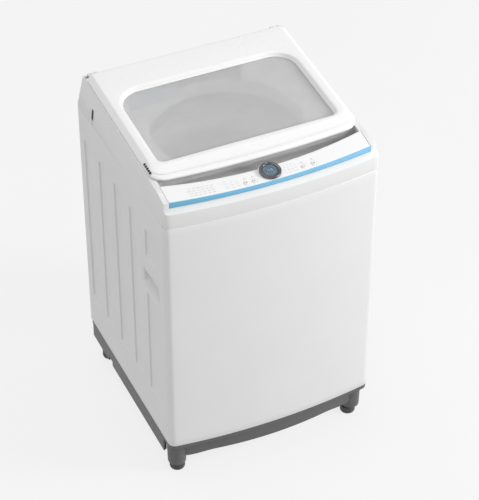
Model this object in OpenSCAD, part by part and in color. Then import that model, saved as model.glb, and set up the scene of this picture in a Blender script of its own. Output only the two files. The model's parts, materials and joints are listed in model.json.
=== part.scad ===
// Top load washing machine, millimetres, +Z up.
// Origin: centre of the footprint, on the floor. The front faces -Y, +X is to its right.

/* [Overall] */
// Width over the cabinet sides
body_w = 545; // [535:1:680]
// Depth from the middle of the bowed front to the rear screw heads
body_d = 555; // [545:1:690]
// How far the middle of the front stands ahead of its corners
front_bow = 22; // [12:1:30]
// Radius of the two vertical front corners
corner_r = 18; // [10:1:28]

/* [Heights] */
// Height of the base frame's foot columns above the floor
foot_h = 30; // [26:1:40]
// Height of the seam between base and cabinet
base_top = 113; // [105:1:125]
// Height of the steel cabinet
cabinet_h = 684; // [670:1:840]
// Rise of the top frame from its seam to the lid's rear edge
head_h = 112; // [106:1:124]

/* [Cabinet] */
// Sheet thickness of the cabinet
sheet_t = 1.2; // [0.8:0.1:2]
// Depth of the pressed side beads
bead_depth = 3; // [2:0.5:5]
// Width of one side bead
bead_w = 55; // [40:1:66]
// Distance from one bead to the next
bead_pitch = 95; // [82:1:98]
// Number of beads on each side
bead_count = 5; // [2:1:5]
// Plain sheet left below the beads
bead_bottom = 102; // [60:1:150]
// Plain sheet left above the beads
bead_top = 79; // [50:1:120]
// Length of the side handle pocket
handle_l = 90; // [75:1:110]
// Height of the side handle pocket
handle_h = 45; // [35:1:56]
// Depth of the side handle pocket
handle_depth = 26; // [18:1:32]

/* [Base and feet] */
// Wall of the base frame
base_t = 4; // [3:0.5:6]
// Height of the side skirts below the cabinet seam
skirt_h = 53; // [40:1:60]
// Radius of the column round each front foot
column_r = 26; // [22:1:30]
// Radius of a foot's rubber pad
pad_r = 19.5; // [15:0.5:21]
// Height of a foot's rubber pad
pad_h = 20; // [16:1:22]
// Radius of a foot's threaded stud
stud_r = 5; // [4:0.5:6]
// How far the front foot axis lies in from the side
foot_in = 33.5; // [30:0.5:40]
// How far the front foot axis lies behind the front corner line
foot_back = 41; // [36:1:50]

/* [Lid] */
// Slope of the lid, degrees
lid_slope = 4; // [2:0.5:6]
// Thickness of the lid at its rim
lid_t = 14.5; // [12:0.5:18]
// Depth of the lid's flat top, from the rear edge to the front lip
lid_flat = 370; // [350:1:378]
// Further depth of the sloping front lip, at the middle
lip_d = 49; // [40:1:54]
// Wall of the lid
lid_wall = 3; // [2:0.5:4]
// Thickness of the glass
glass_t = 4; // [3:0.5:5]
// How far the glass lies below the lid's top
glass_drop = 10; // [5:0.5:11]
// Half width of the window
window_half = 227; // [200:1:230]
// Radius of the lid's hinge pins
pin_r = 4; // [3:0.5:5]

/* [Top frame and panel] */
// Wall of the plastic top frame
frame_t = 3; // [2:0.5:4]
// Height of the band that stands on the cabinet's front
band_h = 39; // [30:1:44]
// Slope of the control panel, degrees
panel_slope = 10; // [8:0.5:12]
// Thickness of the control panel
panel_t = 3; // [2:0.5:4]
// Half width of the control panel
panel_half = 253; // [240:1:255]
// Thickness of the blue trim strip
trim_t = 2.5; // [1.5:0.5:4]
// Radius of the dial ring
dial_r = 25.5; // [22:0.5:27]
// Height of the dial ring above the panel
dial_h = 6; // [4:0.5:9]
// Radius of a push button
button_r = 5; // [4:0.5:6]
// How far a push button travels
button_travel = 1.5; // [1:0.25:2.5]
// Inside width of the detergent drawer
drawer_w = 124; // [100:1:150]
// Depth of the detergent drawer
drawer_d = 88; // [70:1:92]
// Height of the detergent drawer
drawer_h = 36; // [28:1:38]

/* [Tub and drum] */
// Outer radius of the outer tub
tub_r = 243; // [200:1:245]
// Wall of the outer tub
tub_t = 3; // [2:0.5:5]
// Height of the tub's floor above the ground
tub_z = 250; // [246:1:270]
// Height of the outer tub
tub_h = 485; // [460:1:490]
// Gap between the tub's wall and the drum
drum_gap = 24; // [16:1:40]
// Wall of the steel drum
drum_t = 1.2; // [0.8:0.1:2]
// Height of the balance ring
balance_h = 40; // [30:1:60]
// Radial width of the balance ring
balance_w = 26; // [18:1:32]
// Radius of the pulsator
pulsator_r = 160; // [120:1:170]
// Radius of the round opening in the top frame's deck
mouth_r = 185; // [150:1:188]

/* [Drive] */
// Radius of the wash shaft
wash_shaft_r = 9; // [7:0.5:10]
// Outer radius of the hollow spin shaft
spin_shaft_r = 17; // [15:0.5:20]
// Outer radius of the shaft bearings
bearing_r = 31; // [27:0.5:34]
// Height of one shaft bearing
bearing_h = 14; // [10:1:16]
// Outer radius of the clutch and gear housing
clutch_r = 62; // [55:1:68]
// Radius of the belt's path on the driven pulley
driven_r = 75; // [60:1:85]
// Radius of the belt's path on the motor pulley
motor_pulley_r = 30; // [20:1:34]
// Distance between the drive shaft and the motor shaft
motor_offset = 160; // [150:1:180]
// Radius of the motor's case
motor_r = 62; // [55:1:64]
// Height of the belt
belt_h = 9; // [7:1:11]

/* [Suspension] */
// Distance of each suspension rod from the cabinet's sides
rod_in = 46; // [42:1:56]
// Radius of a suspension rod
rod_r = 4; // [3:0.5:5]
// Radius of a suspension spring
spring_r = 17; // [14:0.5:20]
// Radius of the spring wire
wire_r = 2.2; // [1.5:0.1:2.6]
// Turns of a suspension spring
spring_turns = 6; // [4:1:8]

/* [Connections] */
// Radius of the water inlet's thread
inlet_r = 13.2; // [12:0.1:14]
// Inner radius of the drain outlet
drain_r = 15; // [12:0.5:18]
// Radius of the power cord's hole in its gland
cord_r = 4; // [3:0.5:5]

/* [Fits] */
// Radial clearance of a shaft that turns in its bore
run_fit = 0.05; // [0.02:0.01:0.1]
// Clearance round a piece that slides
slide_gap = 0.5; // [0.3:0.1:1]
// Clearance round a piece that is set into a cut-out
seat_gap = 0.2; // [0.1:0.1:0.4]
// Gap between the closed lid and the top frame
lid_gap = 1.2; // [1:0.1:2]

/* [Hidden] */
$fn = 96;
e = 0.01;
over = 60;

half_w = body_w / 2;
front_y = -body_d / 2;
corner_y = front_y + front_bow;
back_y = body_d / 2;
screw_head_h = 2;
rear_sheet_t = 1;
cab_back = back_y - screw_head_h - rear_sheet_t;
cab_top = base_top + cabinet_h;
top_z = cab_top + head_h;

// The front is one large arc, and everything bowed shares its centre.
bow_r = (half_w * half_w + front_bow * front_bow) / (2 * front_bow);
bow_cy = front_y + bow_r;

// Top frame
frame_back = cab_back - 0.5;
frame_lean_y = 23;
frame_lean_x = 10.5;
rear_strip = 20;
lid_back = frame_back - frame_lean_y - rear_strip;
side_half = half_w - frame_lean_x;
lid_half = half_w - 13;
lid_bevel = 10;
deck_z = cab_top + 41;
well_half = window_half - 2;
well_front = lid_back - lid_flat - 11;
well_back = lid_back - 82;
well_corner = 60;

// Control panel: its plane passes through this line
panel_ref_y = corner_y + 74;
panel_ref_z = cab_top + 70.8;
trim_in = 15.5;
trim_bottom = cab_top + band_h + 7;
panel_edge_bow = 28;
panel_edge_y = front_y + 60;
panel_edge_r = (250 * 250 + panel_edge_bow * panel_edge_bow) / (2 * panel_edge_bow);
dial_y = front_y + 45;
lobe_w = 2.5;
recess_floor = cab_top + 48;
recess_back = lid_back - lid_flat - 26;
liner_t = 2;

// Hinge
hinge_y = lid_back + 11;
hinge_z = lid_z(lid_back) - lid_t - 1.5;
knuckle_r = pin_r + 4;
knuckle_w = 11;
ear_w = 6;
hinge_x = side_half - 22;

// Feet
foot_x = half_w - foot_in;
foot_y = corner_y + foot_back;
rear_foot_y = cab_back - 40;
stud_top = base_top - 30;

// Drive train, from the bottom up
belt_z = base_top + 18;
pulley_h = belt_h + 8;
clutch_bottom = belt_z + belt_h + 18;
carrier_t = 3;
carrier_z = tub_z - 8;
clutch_flange_t = 6;
clutch_top = tub_z + 12;
drum_floor_z = tub_z + 36;
drum_r = tub_r - tub_t - drum_gap;
drum_top = tub_z + tub_h - 10;
spin_shaft_top = drum_floor_z + 2;
gear_z = clutch_bottom + 24;

// Suspension
rod_x = half_w - rod_in;
rod_front = corner_y + rod_in - 18;
rod_back = -rod_front;
socket_z = cab_top - 32;
socket_t = 8;
rod_foot_z = tub_z - 28;
lug_z = tub_z + 95;
lug_t = 12;
spring_low = rod_foot_z + 4;

drawer_x = -(drawer_w / 2 + 62);
drawer_z = deck_z + 4;
inlet_x = 150;
inlet_z = cab_top + 50;
drain_x = -200;
drain_z = base_top + 30;

// Height of the lid's top at depth y
function lid_z(y) = top_z - tan(lid_slope) * (lid_back - y);
// Height of the rim that the lid closes on at depth y
function rim_z(y) = lid_z(y) - (lid_t + lid_gap) / cos(lid_slope);
// Height of the control panel's face at depth y
function panel_z(y) = panel_ref_z + tan(panel_slope) * (y - panel_ref_y);
// Depth of the bowed front, moved in by inset, at width x
function bow_y(x, inset) = bow_cy - sqrt(pow(bow_r - inset, 2) - x * x);
// Points on an arc
function arc(cx, cy, r, from, to, n) =
    [for (i = [0:n]) [cx + r * cos(from + (to - from) * i / n), cy + r * sin(from + (to - from) * i / n)]];
// Outline of the cabinet in plan, moved in by inset
function plan(inset, back, front_r, back_r) =
    let (
        w = half_w - inset,
        r = bow_r - inset,
        cx = w - front_r,
        cy = bow_cy - sqrt(pow(r - front_r, 2) - cx * cx),
        turn = atan2(cy - bow_cy, cx)
    )
    concat(
        arc(w - back_r, back - back_r, back_r, 0, 90, 4),
        arc(back_r - w, back - back_r, back_r, 90, 180, 4),
        arc(-cx, cy, front_r, 180, 180 - turn, 6),
        arc(0, bow_cy, r, 180 - turn + 0.2, 360 + turn - 0.2, 28),
        arc(cx, cy, front_r, 360 + turn, 360, 6)
    );
// Rectangle from y0 to y1 with round front and rear corners
function window(half, y0, y1, front_r, back_r) = concat(
    arc(half - back_r, y1 - back_r, back_r, 0, 90, 10),
    arc(back_r - half, y1 - back_r, back_r, 90, 180, 10),
    arc(front_r - half, y0 + front_r, front_r, 180, 270, 6),
    arc(half - front_r, y0 + front_r, front_r, 270, 360, 6)
);

module ring(outer, inner, h) {
    difference() {
        cylinder(r = outer, h = h);
        translate([0, 0, -1]) cylinder(r = inner, h = h + 2);
    }
}

module both_sides() {
    children();
    mirror([1, 0, 0]) children();
}

// A side view, drawn as [y, z] points, given a width along X
module along_x(width) {
    translate([-width / 2, 0, 0])
        rotate([90, 0, 90])
            linear_extrude(width) children();
}

// A front view, drawn as [x, z] points, given a depth along +Y
module along_y(from, depth) {
    translate([0, from + depth, 0])
        rotate([90, 0, 0])
            linear_extrude(depth) children();
}

module on_lid() {
    translate([0, lid_back, top_z]) rotate([lid_slope, 0, 0]) children();
}

module on_panel(x, y) {
    translate([x, y, panel_z(y)]) rotate([panel_slope, 0, 0]) children();
}

module at_rods() {
    for (side = [-1, 1], y = [rod_front, rod_back])
        translate([side * rod_x, y, 0]) children();
}

// ---------------------------------------------------------------- casing

handle_y = corner_y + 45;
handle_top = base_top + cabinet_h * 0.697;
bead_first = cab_back - 33;

// One pressed bead as a block with sloping flanks and ends, from the side wall inwards
module bead(back, low, high, grow) {
    slope = bead_depth + 2;
    intersection() {
        translate([0, 0, low - grow])
            linear_extrude(high - low + 2 * grow)
                polygon([
                    [half_w + 1, back + grow], [half_w + 1, back - bead_w - grow],
                    [half_w - bead_depth - grow, back - bead_w - grow + slope],
                    [half_w - bead_depth - grow, back + grow - slope]
                ]);
        along_y(back - bead_w - over, bead_w + 2 * over)
            polygon([
                [half_w + 1, low - grow], [half_w + 1, high + grow],
                [half_w - bead_depth - grow, high + grow - slope],
                [half_w - bead_depth - grow, low - grow + slope]
            ]);
    }
}

// All beads of the right side; the front one stops above and below the handle
module beads(grow) {
    low = base_top + bead_bottom;
    high = cab_top - bead_top;
    for (i = [0:bead_count - 1]) {
        back = bead_first - i * bead_pitch;
        meets_handle = back - bead_w < handle_y + handle_l + 8;
        if (meets_handle) {
            bead(back, low, handle_top - handle_h - 18, grow);
            bead(back, handle_top + 45, high, grow);
        } else {
            bead(back, low, high, grow);
        }
    }
}

module handle_block(grow) {
    translate([half_w - handle_depth - grow, handle_y - grow, handle_top - handle_h - grow])
        cube([handle_depth + over, handle_l + 2 * grow, handle_h + 2 * grow]);
}

rear_flange = 26;
screw_r = 2;
screw_rows = [0.06, 0.35, 0.65, 0.94];

module at_rear_screws() {
    for (side = [-1, 1], row = screw_rows)
        translate([side * (half_w - rear_flange / 2), cab_back, base_top + row * cabinet_h])
            rotate([-90, 0, 0]) children();
}

module cabinet() {
    color("gainsboro")
    difference() {
        union() {
            translate([0, 0, base_top])
                linear_extrude(cabinet_h)
                    difference() {
                        polygon(plan(0, cab_back, corner_r, 4));
                        polygon(plan(sheet_t, cab_back - sheet_t, corner_r - sheet_t, 3));
                        translate([rear_flange - half_w, cab_back - 2 * sheet_t])
                            square([body_w - 2 * rear_flange, 4 * sheet_t]);
                    }
            both_sides()
                intersection() {
                    beads(sheet_t);
                    translate([0, -body_d, 0]) cube([half_w - e, 2 * body_d, top_z]);
                }
        }
        both_sides() {
            beads(0);
            handle_block(seat_gap);
        }
        at_rear_screws() translate([0, 0, -10]) cylinder(r = screw_r + 0.1, h = 20, $fn = 24);
    }
}

cover_w = 190;
cover_h = 150;
cover_z = base_top + 40;
cover_x = 40;

module rear_panel() {
    color("silver")
    translate([0, cab_back, 0])
    difference() {
        translate([6 - half_w, 0, base_top]) cube([body_w - 12, rear_sheet_t, cabinet_h]);
        translate([cover_x - cover_w / 2, -1, cover_z]) cube([cover_w, rear_sheet_t + 2, cover_h]);
        translate([drain_x, -1, drain_z])
            rotate([-90, 0, 0]) cylinder(r = drain_r + 5 + seat_gap, h = rear_sheet_t + 2);
        translate([-drain_x, -1, drain_z])
            rotate([-90, 0, 0]) cylinder(r = cord_r + 7 + seat_gap, h = rear_sheet_t + 2, $fn = 48);
        translate([0, -cab_back, 0])
            at_rear_screws() translate([0, 0, -1]) cylinder(r = screw_r + 0.1, h = 5, $fn = 24);
    }
}

module service_cover() {
    color("silver")
    translate([cover_x, cab_back + rear_sheet_t, cover_z]) {
        translate([-cover_w / 2 - 10, 0, -10]) cube([cover_w + 20, 1, cover_h + 20]);
        for (i = [0:4])
            translate([-60, 0.9, 30 + i * 22]) cube([120, 1, 8]);
    }
}

module rear_screws() {
    color("dimgray")
    at_rear_screws() {
        translate([0, 0, rear_sheet_t]) cylinder(r = 4, h = screw_head_h, $fn = 32);
        translate([0, 0, -8]) cylinder(r = screw_r, h = 8 + rear_sheet_t + e, $fn = 24);
    }
}

// A moulded cup: deep under its top edge, running out to the surface at the bottom
module handle_cup() {
    wall = 2;
    difference() {
        union() {
            handle_block(0);
            translate([half_w - sheet_t - 2, handle_y - 8, handle_top - handle_h - 8])
                cube([2, handle_l + 16, handle_h + 16]);
        }
        translate([0, handle_y + wall, 0])
            along_y(0, handle_l - 2 * wall)
                polygon([
                    [half_w + 5, handle_top - wall], [half_w - handle_depth + wall, handle_top - wall],
                    [half_w - handle_depth + wall, handle_top - 0.4 * handle_h],
                    [half_w + 5, handle_top - handle_h + wall - 3]
                ]);
        translate([half_w, handle_y - over, handle_top - handle_h - over])
            cube([over * 2, handle_l + 2 * over, handle_h + 2 * over]);
    }
}

module handle_cup_left() {
    color("gainsboro") mirror([1, 0, 0]) handle_cup();
}

module handle_cup_right() {
    color("gainsboro") handle_cup();
}

// ---------------------------------------------------------------- base and feet

flange_h = 12;
base_in = 1;
front_skirt_in = 10;
front_skirt_h = 46;
skirt_drop = 13;
skirt_bow = 30;
skirt_bow_r = (foot_x * foot_x + skirt_bow * skirt_bow) / (2 * skirt_bow);
column_ahead = 6;

module column() {
    translate([foot_x + 3, foot_y - column_ahead, foot_h])
        cylinder(r1 = column_r - 3, r2 = column_r - 1, h = base_top - foot_h - 2);
}

module base() {
    color("dimgray")
    difference() {
        union() {
            // Flange that the cabinet stands on
            translate([0, 0, base_top - flange_h])
                linear_extrude(flange_h)
                    difference() {
                        polygon(plan(base_in, cab_back, corner_r, 10));
                        polygon(window(half_w - 30, corner_y + 20, cab_back - 28, 20, 20));
                    }
            // Side skirts
            both_sides()
                translate([half_w - base_in - base_t, foot_y + 6, base_top - skirt_h])
                    cube([base_t, cab_back - foot_y - 18, skirt_h - 2]);
            // Front skirt between the columns
            intersection() {
                translate([0, front_y + front_skirt_in + skirt_bow_r, base_top - front_skirt_h - skirt_drop])
                    rotate([0, 0, 250])
                        rotate_extrude(angle = 40, $fn = 360)
                            translate([skirt_bow_r - base_t, 0]) square([base_t, front_skirt_h + skirt_drop - 2]);
                along_y(front_y - 1, 90)
                    polygon([
                        [-foot_x, base_top], [-foot_x, base_top - front_skirt_h - skirt_drop],
                        [-foot_x + 40, base_top - front_skirt_h - 0.6 * skirt_drop],
                        [-foot_x + 75, base_top - front_skirt_h],
                        [foot_x - 75, base_top - front_skirt_h],
                        [foot_x - 40, base_top - front_skirt_h - 0.6 * skirt_drop],
                        [foot_x, base_top - front_skirt_h - skirt_drop], [foot_x, base_top]
                    ]);
            }
            // Rear skirt
            translate([-half_w + 20, cab_back - 10 - base_t, base_top - skirt_h + 8])
                cube([body_w - 40, base_t, skirt_h - 10]);
            both_sides() {
                column();
                translate([foot_x, rear_foot_y, foot_h + 4])
                    cylinder(r = column_r - 3, h = base_top - foot_h - 6);
            }
        }
        // Notch in each side skirt
        both_sides()
            translate([half_w - over / 2, rear_foot_y - 104, base_top - skirt_h - e])
                cube([over, 24, 14]);
        // Threaded holes for the front feet, hollows above them
        both_sides() {
            translate([foot_x, foot_y, 0]) cylinder(r = stud_r + run_fit, h = base_top + 10, $fn = 48);
            translate([foot_x, foot_y, foot_h + 12]) cylinder(r = column_r - 12, h = base_top);
            translate([foot_x, rear_foot_y, foot_h + 16]) cylinder(r = column_r - 9, h = base_top);
        }
    }
}

plate_t = 1.5;

module guard_plate() {
    color("silver")
    difference() {
        translate([-half_w + 20, corner_y + 26, base_top - flange_h - plate_t])
            cube([body_w - 40, cab_back - corner_y - 46, plate_t]);
        both_sides() {
            translate([foot_x, foot_y, 0]) cylinder(r = column_r + 3, h = base_top);
            translate([foot_x, rear_foot_y, 0]) cylinder(r = column_r + 3, h = base_top);
        }
        for (i = [-3:3])
            translate([i * 44 - 9, -60, base_top - 20]) cube([18, 120, 12]);
    }
}

module front_foot() {
    translate([foot_x, foot_y, 0]) {
        cylinder(r1 = pad_r - 1.5, r2 = pad_r, h = 4);
        translate([0, 0, 4]) cylinder(r = pad_r, h = pad_h - 4);
        translate([0, 0, pad_h - e]) cylinder(r = stud_r, h = stud_top - pad_h, $fn = 48);
    }
}

module front_foot_left() {
    color("darkslategray") mirror([1, 0, 0]) front_foot();
}

module front_foot_right() {
    color("darkslategray") front_foot();
}

nut_h = 6;

module foot_locknuts() {
    color("silver")
    both_sides()
        translate([foot_x, foot_y, foot_h - nut_h])
            difference() {
                cylinder(r = 10, h = nut_h, $fn = 6);
                translate([0, 0, -1]) cylinder(r = stud_r + 0.3, h = nut_h + 2, $fn = 48);
            }
}

module rear_feet() {
    color("darkslategray")
    both_sides()
        translate([foot_x, rear_foot_y, 0]) {
            cylinder(r1 = pad_r - 1.5, r2 = pad_r, h = 4);
            translate([0, 0, 4 - e]) cylinder(r = pad_r, h = foot_h + e);
        }
}

// ---------------------------------------------------------------- top frame and panel

// Solid outline of the top frame, moved in by inset and lowered by drop
module frame_solid(inset, drop) {
    rim = rim_z(lid_back) - drop;
    low = cab_top - (inset > 0 ? 1 : 0);
    knee_y = panel_ref_y - 4;
    intersection() {
        translate([0, 0, low]) linear_extrude(head_h) polygon(plan(inset, frame_back - inset, corner_r - inset, 4));
        along_x(body_w + 10)
            polygon([
                [front_y - 5, low], [frame_back - inset, low],
                [frame_back - frame_lean_y - inset, rim],
                [lid_back - inset, rim],
                [knee_y, rim_z(knee_y) - drop], [knee_y - 6, panel_z(knee_y - 6) - drop],
                [front_y - 5, panel_z(front_y - 5) - drop]
            ]);
        along_y(front_y - 5, body_d + 10)
            polygon([
                [-half_w + inset, low], [half_w - inset, low],
                [side_half - inset, rim], [side_half - inset, top_z],
                [-side_half + inset, top_z], [-side_half + inset, rim]
            ]);
    }
}

// Everything above the ledge and ahead of the trim strip
module ledge_cut() {
    translate([0, bow_cy, 0])
        rotate([0, 0, 260])
            rotate_extrude(angle = 20, $fn = 720)
                polygon([
                    [bow_r + 6, cab_top + band_h - 3], [bow_r - trim_in, trim_bottom],
                    [bow_r - trim_in, top_z], [bow_r + 6, top_z]
                ]);
}

// Crescent between the lid's front edge and the panel, moved in by inset
module crescent(inset) {
    difference() {
        intersection() {
            translate([0, panel_edge_y + panel_edge_r]) circle(r = panel_edge_r - inset, $fn = 720);
            translate([inset - 250, panel_edge_y - 5]) square([500 - 2 * inset, recess_back - inset - panel_edge_y + 5]);
        }
        translate([0, dial_y]) circle(r = dial_r + lobe_w + inset);
    }
}

// Everything that the control panel fills, reaching above its face by rise
module panel_block(gap, thickness, rise) {
    rear = corner_y + 90;
    intersection() {
        translate([0, 0, cab_top])
            linear_extrude(head_h)
                difference() {
                    translate([0, bow_cy]) intersection() {
                        circle(r = bow_r - trim_in - trim_t - seat_gap / 2 + gap, $fn = 1440);
                        translate([-panel_half - gap, -bow_r]) square([2 * (panel_half + gap), 150]);
                    }
                    difference() {
                        translate([0, panel_edge_y + panel_edge_r]) circle(r = panel_edge_r - gap, $fn = 720);
                        translate([0, dial_y]) circle(r = dial_r + lobe_w + gap);
                    }
                }
        along_x(body_w)
            polygon([
                [front_y, panel_z(front_y) - thickness], [rear, panel_z(rear) - thickness],
                [rear, panel_z(rear) + rise], [front_y, panel_z(front_y) + rise]
            ]);
    }
}

// Deck and walls of the well under the lid
module well_walls() {
    translate([0, 0, deck_z - frame_t])
        linear_extrude(head_h)
            polygon(window(well_half + frame_t, well_front - frame_t, well_back + frame_t,
                           18 + frame_t, well_corner + frame_t));
}

module hinge_ears() {
    both_sides()
        for (x = [hinge_x - knuckle_w / 2 - ear_w - slide_gap, hinge_x + knuckle_w / 2 + slide_gap])
            translate([x, hinge_y, hinge_z])
                rotate([0, 90, 0]) cylinder(r = knuckle_r, h = ear_w, $fn = 48);
}

module top_frame() {
    color("whitesmoke")
    difference() {
        union() {
            difference() {
                frame_solid(0, 0);
                frame_solid(frame_t, frame_t);
                ledge_cut();
            }
            intersection() {
                frame_solid(0, 0);
                well_walls();
            }
            // Inner skin of the front, behind ledge and trim strip
            intersection() {
                difference() {
                    frame_solid(0, 0);
                    ledge_cut();
                }
                translate([0, 0, cab_top])
                    linear_extrude(head_h)
                        difference() {
                            polygon(plan(frame_t, frame_back, corner_r - frame_t, 4));
                            polygon(plan(trim_in + trim_t + frame_t + 2, frame_back, corner_r, 4));
                        }
                translate([-half_w, front_y, cab_top + band_h - 8]) cube([body_w, 60, over * 2]);
            }
            // Collar round the mouth
            translate([0, 0, cab_top + 3]) ring(mouth_r + frame_t, mouth_r, deck_z - cab_top - 4);
            hinge_ears();
        }
        // Well and mouth
        translate([0, 0, deck_z])
            linear_extrude(head_h) polygon(window(well_half, well_front, well_back, 18, well_corner));
        translate([0, 0, cab_top - 1]) cylinder(r = mouth_r, h = head_h);
        // Seats for the panel, the trim strip and the recess liner
        panel_block(seat_gap, panel_t + seat_gap, lid_gap);
        trim_body(seat_gap, lid_gap);
        translate([0, 0, recess_floor - liner_t - seat_gap]) linear_extrude(head_h) crescent(-seat_gap);
        // Room for the dial's shaft and the buttons
        on_panel(0, dial_y) translate([0, 0, -over / 2]) cylinder(r = 12, h = over);
        for (x = button_xs)
            on_panel(x, button_y(x)) translate([0, 0, -over / 2]) cylinder(r = button_r + 2, h = over, $fn = 48);
        // Drawer slot
        translate([drawer_x, well_back - 8, drawer_z - 2 + drawer_h / 2])
            cube([drawer_w + 6, 30, drawer_h + 6], center = true);
        // Pockets for the lid's knuckles, bores for its pins
        both_sides() {
            translate([hinge_x, hinge_y - 3, hinge_z])
                cube([knuckle_w + 2 * slide_gap, 2 * knuckle_r + 10, 2 * knuckle_r + 8], center = true);
            translate([hinge_x - 20, hinge_y, hinge_z]) rotate([0, 90, 0]) cylinder(r = pin_r, h = 40, $fn = 48);
        }
        // Water inlet
        translate([inlet_x, frame_back - over, inlet_z])
            rotate([-90, 0, 0]) cylinder(r = inlet_r + 3 + seat_gap, h = over * 2);
    }
}

// The blue strip's body, reaching above the panel's face by rise
module trim_body(gap, rise) {
    rear = corner_y + 90;
    intersection() {
        translate([0, bow_cy, 0])
            rotate([0, 0, 261])
                rotate_extrude(angle = 18, $fn = 720)
                    polygon([
                        [bow_r - trim_in - trim_t - gap, trim_bottom - gap],
                        [bow_r - trim_in + gap, trim_bottom - gap],
                        [bow_r - trim_in + gap, top_z], [bow_r - trim_in - trim_t - gap, top_z]
                    ]);
        translate([-panel_half - gap, front_y, cab_top]) cube([2 * (panel_half + gap), 90, head_h]);
        along_x(body_w)
            polygon([
                [front_y, cab_top], [rear, cab_top],
                [rear, panel_z(rear) + rise], [front_y, panel_z(front_y) + rise]
            ]);
    }
}

module trim_strip() {
    color("skyblue") trim_body(0, 0);
}

module finger_recess() {
    color("gray")
    intersection() {
        translate([0, 0, recess_floor - liner_t])
            difference() {
                linear_extrude(head_h) crescent(0);
                translate([0, 0, liner_t]) linear_extrude(head_h) crescent(liner_t);
            }
        along_x(body_w)
            polygon([
                [front_y, cab_top], [0, cab_top],
                [0, rim_z(0) - 2], [panel_ref_y - 4, rim_z(panel_ref_y - 4) - 2],
                [front_y, panel_z(front_y) - 1]
            ]);
    }
}

button_xs = [-65, -45, 79, 105];
button_stand = button_travel + 0.3;
function button_y(x) = bow_y(x, trim_in) + 14;

module control_panel() {
    color("white")
    difference() {
        panel_block(0, panel_t, 0);
        on_panel(0, dial_y) translate([0, 0, -over / 2]) cylinder(r = 8, h = over, $fn = 48);
        for (x = button_xs)
            on_panel(x, button_y(x)) translate([0, 0, -over / 2]) cylinder(r = button_r + 0.3, h = over, $fn = 48);
    }
}

display_r = 18;

// Turning ring round the fixed display
module dial_ring() {
    color("slategray")
    on_panel(0, dial_y)
        translate([0, 0, 0.5])
            difference() {
                union() {
                    cylinder(r = dial_r, h = dial_h - 2);
                    translate([0, 0, dial_h - 2 - e]) cylinder(r1 = dial_r, r2 = dial_r - 2, h = 2 - 0.5);
                }
                translate([0, 0, -1]) cylinder(r = display_r + slide_gap, h = dial_h + 2);
            }
}

module dial_display() {
    color("darkslateblue")
    on_panel(0, dial_y) {
        translate([0, 0, 2 * e]) cylinder(r = display_r, h = dial_h - 2.5);
        translate([0, 0, -panel_t - 6]) cylinder(r = 8 - seat_gap, h = panel_t + 6 + 3 * e, $fn = 48);
    }
}

module button(x) {
    stop_t = 1.2;
    on_panel(x, button_y(x))
        translate([0, 0, -panel_t - seat_gap - stop_t]) {
            cylinder(r = button_r, h = panel_t + seat_gap + stop_t + button_stand, $fn = 48);
            cylinder(r = button_r + 1.5, h = stop_t, $fn = 48);
        }
}

module function_button_left() {
    color("lightgray") button(button_xs[0]);
}

module function_button_right() {
    color("lightgray") button(button_xs[1]);
}

module start_button() {
    color("firebrick") button(button_xs[2]);
}

module power_button() {
    color("lightgray") button(button_xs[3]);
}

board_z = cab_top + 26;
board_half = 150;
board_d = 34;
board_y = front_y + 26;

module control_board() {
    color("seagreen")
    translate([-board_half, board_y, board_z]) {
        cube([2 * board_half, board_d, 1.6]);
        translate([20, 6, 1.5]) cube([26, 22, 9]);
        translate([70, 8, 1.5]) cube([16, 16, 7]);
        for (i = [0:4]) translate([190 + i * 20, 17, 1.5]) cylinder(r = 5, h = 10, $fn = 32);
    }
}

module board_case() {
    color("dimgray")
    translate([-board_half - 5, board_y - 4, board_z - 10])
        difference() {
            cube([2 * board_half + 10, board_d + 8, 12]);
            translate([3, 3, 2]) cube([2 * board_half + 4, board_d + 2, 12]);
        }
    color("dimgray")
    for (x = [-board_half + 8, board_half - 14], y = [board_y + 4, board_y + board_d - 10])
        translate([x, y, board_z - 8.1]) cube([6, 6, 8.1]);
}

// ---------------------------------------------------------------- lid

lid_front_bow = 14;
lid_front_half = 259;
lid_bow_r = (pow(lid_front_half, 2) + pow(lid_front_bow, 2)) / (2 * lid_front_bow);
window_back = -89;
window_front = 12 - lid_flat;

// Lid outline in plan, in the lid's own tilted frame
module lid_plan(inset) {
    front = -lid_flat - lip_d + inset;
    intersection() {
        translate([0, front + lid_bow_r]) circle(r = lid_bow_r - e, $fn = 720);
        polygon(window(lid_half + 4 - inset, front - 20, -inset, 34, 8));
    }
}

// Lid as a solid block, moved in by inset
module lid_block(inset) {
    top = -inset;
    low = inset > 0 ? -lid_t - 1 : -lid_t;
    intersection() {
        translate([0, 0, low]) linear_extrude(lid_t + 2) lid_plan(inset);
        along_x(body_w)
            polygon([
                [1, top], [-lid_flat + inset, top], [-lid_flat - lip_d + inset, -lid_t - 2 + inset], [-lid_flat - lip_d, low - 1],
                [1, low - 1]
            ]);
        along_y(-lid_flat - lip_d - 2, lid_flat + lip_d + 4)
            polygon([
                [-lid_half + lid_bevel + inset, top], [lid_half - lid_bevel - inset, top],
                [lid_half + 3 - inset, -lid_t - 2], [-lid_half - 3 + inset, -lid_t - 2]
            ]);
    }
}

module window_hole(grow) {
    linear_extrude(over, center = true)
        polygon(window(window_half + grow, window_front - grow, window_back + grow, 18 + grow, well_corner + grow));
}

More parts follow.
